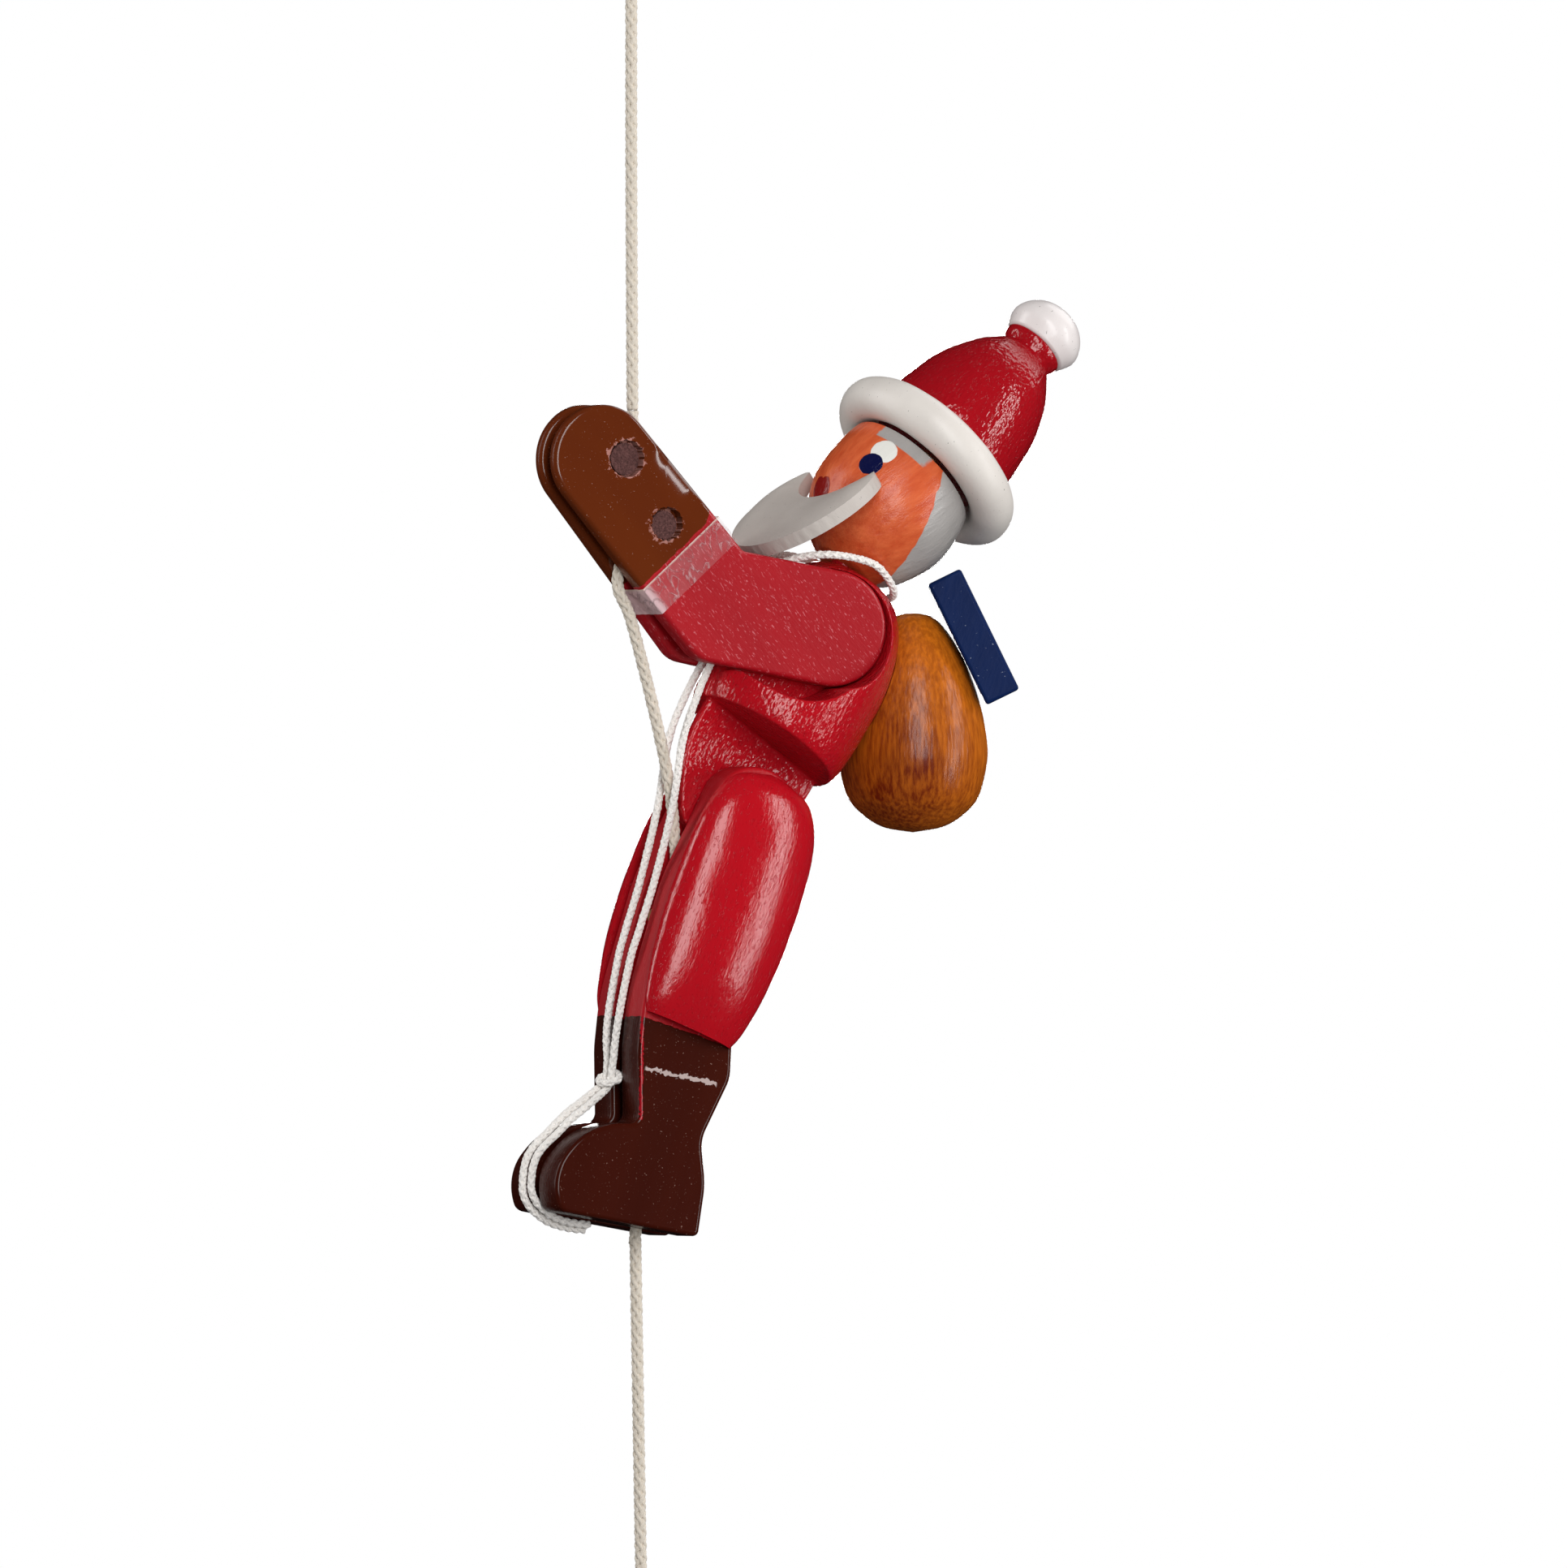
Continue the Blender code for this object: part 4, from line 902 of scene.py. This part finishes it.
knot_foot = LOOP_KNOT_TOP_Z - KNOT_PITCH * LOOP_KNOT_TURNS
upper_route = [(0.0, 0.0, knot_foot - 1.0 - FIT - SOLE_Z), (0.0, 0.0, 170.0), (0.2, 0.0, HANDS_IN_Z + FIT)]
threaded_route = [(0.2, 0.0, HANDS_IN_Z), (0.35, 0.0, 124.7), (0.1, 0.0, 119.0), (-0.15, 0.0, 114.1),
                  (-1.3, 0.0, 109.6), (-2.5, 0.0, 106.0), (-2.2, 0.0, 103.2), (0.0, 0.0, 98.6),
                  (4.2, 0.0, 84.2), (7.0, 0.0, 72.4), (8.0, 0.0, 64.0), (8.4, 0.0, 57.0), (8.35, 0.0, 51.0),
                  (6.8, 0.0, 41.0), (1.1, 0.0, 2.6), (0.75, 0.0, SOLE_OUT_Z)]
lower_route = [(0.75, 0.0, SOLE_OUT_Z - FIT), (0.85, 0.0, -6.0), (1.8, 0.0, -54.0),
               (2.0, 0.0, END_KNOT_TOP_Z - SOLE_Z),
               (2.0, 0.0, END_KNOT_TOP_Z - SOLE_Z - KNOT_PITCH * END_KNOT_TURNS - CORD_TAIL)]
loop_route = lowered([(2.0 * HANG_X, 0.0, knot_foot - CORD_TAIL), (2.0 * HANG_X, 0.0, knot_foot),
                      (2.0 * HANG_X, 0.0, LOOP_KNOT_TOP_Z),
                      (HANG_X + LOOP_WIDTH / 2.0, 0.0, LOOP_KNOT_TOP_Z + LOOP_SHOULDER),
                      (HANG_X + LOOP_WIDTH / 2.0 - 0.6, 0.0, LOOP_TOP_Z - LOOP_CROWN),
                      (HANG_X, 0.0, LOOP_TOP_Z),
                      (HANG_X - LOOP_WIDTH / 2.0 + 0.6, 0.0, LOOP_TOP_Z - LOOP_CROWN),
                      (HANG_X - LOOP_WIDTH / 2.0, 0.0, LOOP_KNOT_TOP_Z + LOOP_SHOULDER),
                      (0.0, 0.0, LOOP_KNOT_TOP_Z), (0.0, 0.0, knot_foot - 1.0)])

upper_points = even_route(upper_route, CORD_SPACING)
threaded_points = even_route(threaded_route, CORD_SPACING)
lower_points = even_route(lower_route, CORD_SPACING)
upper_length = path_length(upper_points)
threaded_length = path_length(threaded_points)

cord_upper = braid("cord_upper_braid", upper_points, CORD_MAKE)
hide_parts("cord_upper")
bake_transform(cord_upper)
braid("cord_threaded_braid", threaded_points, CORD_MAKE, "figure", ("cord_threaded",),
      upper_length + FIT * MM)
cord_lower = braid("cord_lower_braid", lower_points, CORD_MAKE,
                   start=upper_length + threaded_length + 2.0 * FIT * MM)
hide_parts("cord_lower")
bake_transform(cord_lower)
loop_coil = coil(2.0 * CORD_D + 2.0 * SNUG - HANG_X / 2.0, LOOP_KNOT_TOP_Z - 0.4, LOOP_KNOT_TURNS - 0.4,
                 HANG_X)
end_coil = coil(CORD_D + 2.0 * SNUG, END_KNOT_TOP_Z, END_KNOT_TURNS, 2.0)
loop, loop_knot, end_knot = (
    braid(piece + "_braid", even_route(route, CORD_SPACING), CORD_MAKE, "cord", (piece,))
    for piece, route in (("hanging_loop", loop_route), ("loop_knot", loop_coil), ("end_knot", end_coil)))

# Elastic: round the neck, down the chest and over the toes. The list is the left half, from the neck down.
elastic_half = [(47.6, 0.0, 102.4), (45.9, 5.0, 103.5), (43.0, 7.6, 106.0), (39.3, 8.7, 108.2),
                (32.8, 7.6, 109.4), (27.6, 4.8, 108.8), (24.8, 2.7, 106.9), (22.0, 2.2, 103.4),
                (18.4, 1.8, 98.8), (13.9, 1.45, 91.8), (10.8, 2.0, 86.0), (8.2, 2.3, 79.4),
                (6.2, 2.4, 68.5), (3.0, 2.3, 57.0), (0.2, 2.2, 49.0), (-1.4, 2.0, 44.0), (-3.5, 1.7, 34.0),
                (-4.0, 0.95, 27.2), (-4.7, 0.8, 24.2), (-8.1, 0.72, 21.5), (-11.0, 0.72, 19.5),
                (-14.3, 0.72, 16.7), (-18.1, 0.72, 13.1), (-19.3, 0.72, 8.9), (-18.7, 0.72, 5.6),
                (-15.5, 0.72, 2.8), (-11.8, 0.72, 1.6), (-8.2, 0.72, 1.2)]


BOOT_MIDDLE = Vector((-8.0, 12.0))
STRANDS_APART = 0.42
PARTING_TOP_Z = 32.0
PARTING_HEIGHT = 6.0


def beside(point, side):
    """Over the toes one strand lies outside the other, away from the boots' middle."""
    x, y, z = point
    share = min(max((PARTING_TOP_Z - z) / PARTING_HEIGHT, 0.0), 1.0)
    away = (Vector((x, z)) - BOOT_MIDDLE).normalized() * side * STRANDS_APART * share
    return (x + away.x, side * y, z + away.y)


elastic_route = [beside(point, -1) for point in reversed(elastic_half[1:])]
elastic_route += [beside(point, 1) for point in elastic_half]
elastic = braid("elastic_braid", even_route(elastic_route, ELASTIC_SPACING), ELASTIC_MAKE)
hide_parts("elastic_cord")
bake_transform(elastic)

# One slanting turn of elastic round both strands above the toes, a little more than a full circle
hitch = [(-4.1 + 1.6 * math.cos(a), 1.9 * math.sin(a), 25.1 + 0.4 * math.sin(a) + 0.7 * math.cos(a))
         for a in (math.radians(15.0 * k) for k in range(27))]
braid("elastic_hitch", even_route(hitch, ELASTIC_SPACING), ELASTIC_MAKE, "legs")


SIDES = ((-1, "left"), (1, "right"))

# Coat
TORSO_R = 13.8
TORSO_LENGTH = 31.2
TRUNK_R = 11.8
TRUNK_LENGTH = 20.0
TRUNK_THICK = 2.2
TRUNK_SLAB_REACH = 2.0
TRUNK_SLAB_TOP = 4.0
POCKET_CENTRE = (26.5, 97.6)
POCKET_R = 11.8
PAST_COAT = 6.0
JACKET_STATIONS = [(0.0, TORSO_R - 0.9), (2.6, TORSO_R - 0.2), (9.0, TORSO_R), (16.5, TORSO_R - 0.3),
                   (23.5, TORSO_R - 1.9), (28.0, TORSO_R - 4.2), (30.4, TORSO_R - 6.6),
                   (TORSO_LENGTH, TORSO_R - 8.6)]
TRUNK_STATIONS = [(-TRUNK_LENGTH, 0.4), (-TRUNK_LENGTH + 1.2, TRUNK_R * 0.42), (-14.6, TRUNK_R * 0.70),
                  (-9.5, TRUNK_R * 0.9), (-4.0, TRUNK_R), (2.0, TRUNK_R)]

# Arms
HAND_TIP_A = (-18.9, 125.3)
HAND_TIP_B = (-6.6, 136.2)
HAND_TIP_R = 8.0
ELBOW_INNER = (17.1, 109.5)
ELBOW_OUTER = (9.7, 92.9)
ARM_CORNERS = [(*HAND_TIP_A, HAND_TIP_R), (*HAND_TIP_B, HAND_TIP_R), (*ELBOW_INNER, 2.0),
               (43.6, 104.7, 8.8), (40.3, 87.2, 8.8), (*ELBOW_OUTER, 5.0)]
ARM_GROW = 0.5
WRIST_X = 4.0
HAND_INNER_Y = 1.25
INNER_SPREAD = 0.105
WRIST_OUTER_Y = 5.2
OUTER_SPREAD = 0.0905
ARM_EDGE = 0.8
PEG_UPPER_R = 2.6
PEG_LOWER_R = 2.3
PEG_PLAY = 0.42
PEG_RECESS = 0.45
PEG_CHIP = 0.22
PEG_FRAY = 0.05
HOLE_TORN = 1.6
PEG_PRESS = 0.94
DRILL_HALF = 12.0


def arm_inner(x):
    """How far an arm's inner face is from the middle plane: the hands are parallel, the arms spread."""
    return HAND_INNER_Y + max(0.0, x - WRIST_X) * INNER_SPREAD


def arm_outer(x):
    """How far an arm's outer face is from the middle plane, all along the arm and the hand."""
    return WRIST_OUTER_Y + (x - WRIST_X) * OUTER_SPREAD


def slab(half, low, high, reach):
    """Flat board square to Y along the torso's axis."""
    axis = leaning(TORSO_LEAN)
    side = across(axis)
    corners = [in_plane(TORSO_HEM) + side * a * reach + axis * h
               for a, h in ((-1, low), (1, low), (1, high), (-1, high))]
    return board([(p.x, p.z) for p in corners], lambda x: -half, lambda x: half)


def arm_pocket(outline, side, fold=None):
    """Cutter with this outline, from the arm's inner face to past the coat's side."""
    return board(outline, lambda x: side * (TORSO_R + PAST_COAT), lambda x: side * (arm_inner(x) - FIT),
                 fold)


def coat():
    """Turned body, milled to a thin tongue below and pocketed on both sides for the arms."""
    body = turned(closed(JACKET_STATIONS, 6), TORSO_HEM, TORSO_LEAN, 144)
    tongue = carved(turned(closed(TRUNK_STATIONS, 6), TORSO_HEM, TORSO_LEAN, 144),
                    [(slab(TRUNK_THICK / 2.0, -TRUNK_LENGTH - TRUNK_SLAB_REACH, TRUNK_SLAB_TOP,
                           TRUNK_R + TRUNK_SLAB_REACH), "INTERSECT")])
    angles = [math.radians(3.0 * i) for i in range(120)]
    circle = [(POCKET_CENTRE[0] + POCKET_R * math.cos(a),
               POCKET_CENTRE[1] + POCKET_R * math.sin(a)) for a in angles]
    cuts = [(tongue, "UNION")]
    for side, _ in SIDES:
        cuts.append((arm_pocket(fillet_outline(ARM_CORNERS, ARM_GROW + FIT), side, WRIST_X), "DIFFERENCE"))
        cuts.append((arm_pocket(circle, side), "DIFFERENCE"))
    whole = softened(carved(body, cuts), 0.24, 5)
    hand_made(whole, 0.06, 5.0, 1.0)
    return finish(whole, "coat", JACKET_PAINT, "figure", ("torso",), 60.0)


coat()


def arm(side, word):
    """Arm and hand sawn from one board, with two ragged drilled holes for the pegs."""
    blank = board(fillet_outline(ARM_CORNERS, ARM_GROW), lambda x: side * arm_outer(x),
                  lambda x: side * arm_inner(x), WRIST_X, ARM_EDGE, 4)
    holes = []
    for (x, z), radius, offset, seed in ((PEG_UPPER, PEG_UPPER_R, 0.12, 3.0),
                                         (PEG_LOWER, PEG_LOWER_R, 0.3, 7.0)):
        torn = pin((x + offset, z + offset / 2.0), radius + PEG_PLAY, HOLE_TORN, 96, 0.3, seed * side)
        bmesh.ops.translate(torn, verts=torn.verts, vec=(0.0, side * arm_outer(x) * MM, 0.0))
        holes += [(pin((x, z), radius * PEG_PRESS, DRILL_HALF, 96), "DIFFERENCE"), (torn, "DIFFERENCE")]
    return finish(carved(blank, holes), "arm_with_hand_" + word, ARM_PAINT, "figure", ("arm_" + word,),
                  35.0)


for side, word in SIDES:
    arm(side, word)


def hand_peg(piece, centre, radius, seed):
    """Dowel sawn off rough, a little below the hand's face."""
    half = arm_outer(centre[0]) - PEG_RECESS
    shares = (0.0, 0.18, 0.36, 0.54, 0.72, 0.88, 1.0)
    profile = [(-half, radius * s) for s in shares] + [(-half + 0.25, radius)]
    profile += [(-h, r) for h, r in reversed(profile)]
    bm = spun([(r, h, 0.0) for h, r in profile], (0.0, 0.0, 0.0), UP_Y, 48, weld=1e-4)
    for vert in bm.verts:
        x, y, z = vert.co
        chip = noise.noise(Vector((x * 1.7, z * 1.7, seed + (1.0 if y > 0 else 0.0))))
        fray = noise.noise(Vector((math.atan2(z, x) * 2.5, y * 0.2, seed)))
        pull = 1.0 - PEG_FRAY * abs(fray)
        depth = PEG_CHIP * abs(chip) if abs(y) > half - 0.05 else 0.0
        vert.co = pt(centre[0] + x * pull, y - math.copysign(depth, y), centre[1] + z * pull)
    return finish(bm, piece + "_dowel", PEG_FINISH, "figure", (piece,), 60.0)


hand_peg("hand_peg_upper", PEG_UPPER, PEG_UPPER_R, 2.0)
hand_peg("hand_peg_lower", PEG_LOWER, PEG_LOWER_R, 5.0)

# Clear band round both wrists
BAND_WIDTH = 5.2
BAND_THICK = 0.2
BAND_ALONG = 75.4
FILM_SLICES = 14
FILM_THICK = 0.1
FILM_STEP = 0.5
CRUMPLE_DEPTH = 0.16
arm_rim = [in_plane(p) for p in fillet_outline(ARM_CORNERS, ARM_GROW)]


def arm_reach(along):
    """Lowest and highest place of the arm's rim across the hand, at one place along it."""
    crossings = []
    for a, b in zip(arm_rim, arm_rim[1:] + arm_rim[:1]):
        start = -a.dot(HAND_RUN) - along
        end = -b.dot(HAND_RUN) - along
        if (start < 0.0) != (end < 0.0):
            crossings.append(a.lerp(b, start / (start - end)).dot(HAND_SIDE))
    return min(crossings), max(crossings)


def band_ring(along, spread):
    """The band's section across both wrists at one place along the hands, with round corners."""
    ring = []
    band_low, band_high = arm_reach(along)
    for high, y_sign in ((False, -1), (True, -1), (True, 1), (False, 1)):
        base = HAND_SIDE * (band_high if high else band_low) - HAND_RUN * along
        corner = Vector((base.x, arm_outer(base.x) * y_sign, base.z))
        out = 1 if high else -1
        for k in range(7):
            angle = math.radians(15.0 * k)
            flip = y_sign * out > 0
            a, b = (math.cos(angle), math.sin(angle)) if flip else (math.sin(angle), math.cos(angle))
            ring.append(corner + HAND_SIDE * (a * out * spread) + UP_Y * (y_sign * b * spread))
    return ring


def film_band():
    """Film wound tight over both wrists: its runs between the corners are cut fine and crumple slightly."""
    rows = []
    for i in range(FILM_SLICES + 1):
        along = BAND_ALONG - BAND_WIDTH / 2.0 + BAND_WIDTH * i / FILM_SLICES
        ring = band_ring(along, SNUG + BAND_THICK / 2.0)
        fine = []
        for a, b in zip(ring, ring[1:] + ring[:1]):
            parts = max(1, round((b - a).length / FILM_STEP))
            fine += [a.lerp(b, k / parts) for k in range(parts)]
        rows.append(fine)
    bm, _ = lofted(rows)
    outward(bm)
    bm.normal_update()
    for vert in bm.verts:
        crumple = noise.noise(vert.co * 900.0) + 0.6 * noise.noise(vert.co * 2100.0)
        vert.co += vert.normal * max(crumple, -0.1) * CRUMPLE_DEPTH * MM
    bmesh.ops.solidify(bm, geom=bm.faces[:], thickness=FILM_THICK * MM)
    return finish(bm, "wrist_film", FILM, "figure", ("wrist_band",), 50.0)


film_band()

# Head, hat and beard
HEAD_R = 12.45
BRIM_R = 13.6
BRIM_TUBE = 3.6
BRIM_HOLE_R = 10.3
CROWN_R = 12.1
CROWN_FOOT = 3.3
CROWN_TOP = 25.4
STUB_R = 5.3
STUB_TOP = 27.2
POMPOM_R = 6.45
POMPOM_HEIGHT = 8.0
HEAD_STATIONS = [(-13.6, HEAD_R * 0.40), (-11.2, HEAD_R * 0.655), (-8.0, HEAD_R * 0.83),
                 (-3.9, HEAD_R * 0.97), (0.0, HEAD_R), (5.0, HEAD_R * 0.955), (9.0, HEAD_R * 0.85),
                 (12.5, HEAD_R * 0.66)]

CROWN_STATIONS = [(CROWN_FOOT - 3.0, CROWN_R - 0.1), (CROWN_FOOT, CROWN_R - 0.1), (7.0, CROWN_R - 0.1),
                  (14.4, CROWN_R * 0.885), (20.4, CROWN_R * 0.67), (CROWN_TOP, CROWN_R * 0.355)]
COLLAR_PROFILE = [(CROWN_TOP - 0.4, STUB_R - 0.75), (CROWN_TOP + 0.1, STUB_R - 0.62),
                  (CROWN_TOP + 0.6, STUB_R - 0.35), (STUB_TOP - 0.2, STUB_R - 0.05),
                  (STUB_TOP, STUB_R - 0.15), (STUB_TOP, 0.0)]
POMPOM_STATIONS = [(0.0, POMPOM_R * 0.86), (2.3, POMPOM_R), (4.4, POMPOM_R * 0.93), (6.3, POMPOM_R * 0.69),
                   (7.5, POMPOM_R * 0.36), (POMPOM_HEIGHT, 0.0)]


def head():
    """Turned egg, sawn flat under the hat."""
    ball = turned(closed(HEAD_STATIONS, 8), HEAD_CENTRE, HEAD_LEAN, 160)
    hat_axis = leaning(HAT_LEAN)
    cut_at = in_plane(HAT_CENTRE) - hat_axis * (BRIM_TUBE + FIT)
    cut = bmesh.ops.bisect_plane(ball, geom=ball.verts[:] + ball.edges[:] + ball.faces[:],
                                 plane_co=pt(*cut_at), plane_no=hat_axis, clear_outer=True)
    bmesh.ops.edgeloop_fill(ball, edges=[e for e in cut["geom_cut"] if isinstance(e, bmesh.types.BMEdge)])
    hand_made(ball, 0.05, 4.0, 3.0)
    return finish(ball, "painted_head", FACE_PAINT, "figure", ("head",), 50.0)


def brim():
    """Turned ring, a round rod's section bent to a circle."""
    axis = leaning(HAT_LEAN)
    side = across(axis)
    start = in_plane(HAT_CENTRE)
    section = []
    for i in range(48):
        angle = FULL_TURN * i / 48
        reach = max(BRIM_R + BRIM_TUBE * math.cos(angle), BRIM_HOLE_R)
        section.append(pt(*(start + side * reach + axis * BRIM_TUBE * math.sin(angle))))
    bm = spun(section, pt(*start), axis, 144, ring=True)
    outward(bm)
    hand_made(bm, 0.10, 5.0, 11.0)
    return finish(bm, "hat_brim_ring", BRIM_PAINT, "figure", ("hat_brim",), 60.0)


def crown():
    """Turned cone with a collar on top that the pompom sits on."""
    cone = [row for row in smooth_curve(CROWN_STATIONS, 8) if row[0] < CROWN_TOP - 0.5]
    bm = turned([(cone[0][0], 0.0), *cone, *COLLAR_PROFILE], HAT_CENTRE, HAT_LEAN, 160)
    hand_made(bm, 0.10, 4.5, 21.0)
    return finish(bm, "hat_crown_turning", HAT_PAINT, "figure", ("hat_crown",), 50.0)


def pompom():
    """Turned ball, flat at its foot."""
    foot = STUB_TOP + 0.05
    rows = smooth_curve(POMPOM_STATIONS, 8)
    profile = [(foot, 0.0), (foot, POMPOM_R * 0.74)] + [(foot + 0.25 + h * 0.97, r) for h, r in rows]
    bm = turned(profile, HAT_CENTRE, HAT_LEAN, 128)
    hand_made(bm, 0.07, 3.5, 31.0)
    return finish(bm, "hat_pompom", POMPOM_PAINT, "figure", ("pompom",), 60.0)


head()
brim()
crown()
pompom()

BEARD_CENTRE = (33.9, 119.3)
BEARD_SLOPE = 34.0
BEARD_R = 15.2
BEARD_HOLE_R = 11.0
BEARD_HOLE_BACK = 10.0
BEARD_TIP_CUT = 6.3
BEARD_TIP_TAPER = 2.2
BEARD_THICK = 2.3
BEARD_DOME = 0.9
BEARD_GLUE = 0.12
BEARD_FULL_WIDTH = 8.0
SAW_MARK = 0.22


def beard():
    """Crescent sawn from a domed disc, its rim left rough from the saw."""
    slope = math.radians(BEARD_SLOPE)
    out = Vector((-math.cos(slope), 0.0, -math.sin(slope)))
    up = Vector((-math.sin(slope), 0.0, math.cos(slope)))
    start = in_plane(BEARD_CENTRE)
    outer_end = math.acos(-BEARD_TIP_CUT / BEARD_R)
    inner_end = math.acos((BEARD_HOLE_BACK - BEARD_TIP_CUT) / BEARD_HOLE_R)
    steps = 120
    columns = 16
    sections = []
    for i in range(steps + 1):
        share = 2.0 * i / steps - 1.0
        reach = BEARD_R - BEARD_TIP_TAPER * abs(share) ** 3
        outer = (out * math.cos(outer_end * share) + UP_Y * math.sin(outer_end * share)) * reach
        inner = (out * (BEARD_HOLE_R * math.cos(inner_end * share) - BEARD_HOLE_BACK)
                 + UP_Y * BEARD_HOLE_R * math.sin(inner_end * share))
        width = min(1.0, (outer - inner).length / BEARD_FULL_WIDTH)
        rise = up * BEARD_DOME * width
        top = [start + inner.lerp(outer, k / columns) + rise * (1.0 - (2.0 * k / columns - 1.0) ** 2)
               for k in range(columns + 1)]
        under = [start + inner.lerp(outer, t) - up * BEARD_THICK for t in (1.0, 0.5, 0.0)]
        saw = SAW_MARK * noise.noise(Vector((i * 0.9, 4.0, 0.0)))
        walls = [top[-1].lerp(under[0], t) + (outer.normalized() * saw) for t in (0.25, 0.5, 0.75)]
        inside = [under[-1].lerp(top[0], t) for t in (0.33, 0.67)]
        sections.append(top + walls + under + inside)
    bm, rings = lofted(sections)
    for end in (rings[0], rings[-1]):
        bmesh.ops.edgeloop_fill(bm, edges=end)
    outward(bm)
    face = turned(closed(HEAD_STATIONS, 8, BEARD_GLUE), HEAD_CENTRE, HEAD_LEAN, 160)
    shaped = carved(bm, [(face, "DIFFERENCE")])
    return finish(shaped, "beard_crescent", BEARD_PAINT, "figure", ("beard",), 40.0)


beard()

# Legs
LEG_GAP = 2.8
LEG_THICK = 6.2
LEG_EDGE = 0.7
THIGH_FOOT = (6.0, 32.9)
THIGH_LEAN = 22.2
THIGH_LENGTH = 43.8
THIGH_HALF_WIDTH = 11.4
THIGH_BULGE = 5.4
LEG_CORNERS = [(25.8, 75.0, 8.5), (14.4, 75.4, 6.5), (4.4, 57.4, 40.0), (-1.9, 38.5, 40.0),
               (-2.9, 30.0, 20.0), (-2.7, 17.9, 1.6), (-11.6, 18.2, 13.0), (-19.2, 9.8, 8.0),
               (-17.4, 3.9, 2.0), (8.2, -0.4, 1.0), (9.6, 8.0, 14.0), (8.8, 15.2, 6.0), (14.2, 25.0, 6.0),
               (14.8, 36.0, 10.0), (28.4, 60.0, 12.0)]

# Height along the thigh, and what share of its half width and of its bulge it has there
THIGH_STATIONS = [(0.0, 0.72, 0.42), (3.0, 0.83, 0.60), (10.0, 0.945, 0.88), (18.0, 1.0, 1.0),
                  (27.0, 0.99, 0.99), (34.0, 0.93, 0.90), (39.0, 0.79, 0.70), (42.2, 0.55, 0.42),
                  (THIGH_LENGTH, 0.10, 0.06)]


def leg(side, word):
    """Leg and boot sawn from one board."""
    blank = board(fillet_outline(LEG_CORNERS, 0.0, 16), lambda x: side * (LEG_GAP / 2.0 + LEG_THICK),
                  lambda x: side * LEG_GAP / 2.0, None, LEG_EDGE, 4)
    return finish(blank, "leg_with_boot_" + word, LEG_PAINT, "legs", ("leg_" + word,), 35.0)


def thigh(side, word):
    """Half of a turned barrel: a half turn about its axis, then its depth set apart from its width."""
    rows = smooth_curve(THIGH_STATIONS, 8)
    axis = leaning(THIGH_LEAN)
    square = across(axis)
    start = in_plane(THIGH_FOOT)
    flat = LEG_GAP / 2.0 + LEG_THICK
    edge = [start + axis * h + square * w * THIGH_HALF_WIDTH for h, w, _ in rows]
    bm = spun(edge, start, axis, 64, side * -math.pi)
    for vert in bm.verts:
        h = (vert.co - start).dot(axis)
        _, width, bulge = min(rows, key=lambda row: abs(row[0] - h))
        sine = min(abs(vert.co.y) / (width * THIGH_HALF_WIDTH), 1.0)
        y = flat + THIGH_BULGE * bulge * sine ** 0.8
        vert.co = pt(vert.co.x, side * y, vert.co.z)
    bmesh.ops.holes_fill(bm, edges=[e for e in bm.edges if e.is_boundary])
    outward(bm)
    hand_made(bm, 0.07, 5.0, 51.0 + side)
    return finish(bm, "thigh_half_barrel_" + word, THIGH_PAINT, "legs", ("thigh_" + word,), 40.0)


for side, word in SIDES:
    leg(side, word)
    thigh(side, word)

# Sack and parcel
SACK_FOOT_Z = 64.6
SACK_HEIGHT = 35.4
SACK_R = 12.0
SACK_GLUE = 0.1
PARCEL_CENTRE = (60.9, -4.8, 96.2)
PARCEL_TURN = 30.0
PARCEL_LEAN = 26.1
PARCEL_SIZE = (5.9, 15.0, 21.7)
SACK_STATIONS = [(0.0, 0.0), (0.9, SACK_R * 0.40), (3.0, SACK_R * 0.69), (6.0, SACK_R * 0.89),
                 (11.5, SACK_R), (16.0, SACK_R * 0.985), (21.0, SACK_R * 0.90), (26.0, SACK_R * 0.76),
                 (30.5, SACK_R * 0.57), (33.4, SACK_R * 0.40), (34.8, SACK_R * 0.26), (35.3, SACK_R * 0.12),
                 (SACK_HEIGHT, 0.0)]


def sack():
    """Turned egg with a seat milled to the coat's back."""
    egg = turned(smooth_curve(SACK_STATIONS, 8), (SACK_X, SACK_FOOT_Z), 0.0, 144)
    seat = turned(closed(JACKET_STATIONS, 6, SACK_GLUE), TORSO_HEM, TORSO_LEAN, 144)
    shaped = carved(egg, [(seat, "DIFFERENCE")])
    hand_made(shaped, 0.06, 6.0, 61.0)
    return finish(shaped, "stained_sack", SACK_STAIN, "figure", ("sack",), 40.0)


def parcel():
    """Small sawn block with rounded edges, turned and leaning beside the sack."""
    bm = bmesh.new()
    bmesh.ops.create_cube(bm, size=1.0)
    bmesh.ops.scale(bm, verts=bm.verts, vec=[s * MM for s in PARCEL_SIZE])
    bmesh.ops.bevel(bm, geom=bm.edges[:], offset=0.55 * MM, offset_type="OFFSET", segments=4, profile=0.5,
                    affect="EDGES", material=-1)
    kept_flat(bm, 40.0)
    turn = Matrix.Rotation(math.radians(-PARCEL_TURN), 4, "Z")
    tilt = Matrix.Rotation(math.radians(-PARCEL_LEAN), 4, "Y")
    bm.transform(Matrix.Translation(pt(*PARCEL_CENTRE)) @ turn @ tilt)
    return finish(bm, "painted_parcel", PARCEL_PAINT, "figure", ("parcel",), 30.0)


sack()
parcel()

# The dowels and pins keep their CAD shapes and only get a finish
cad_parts["neck_dowel"].material_slots[0].material = JACKET_PAINT
for name in ("shoulder_dowel", "hat_dowel", "sack_dowel", "hip_axle", "leg_pin", "toe_pin"):
    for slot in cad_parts[name].material_slots:
        slot.material = BEECH
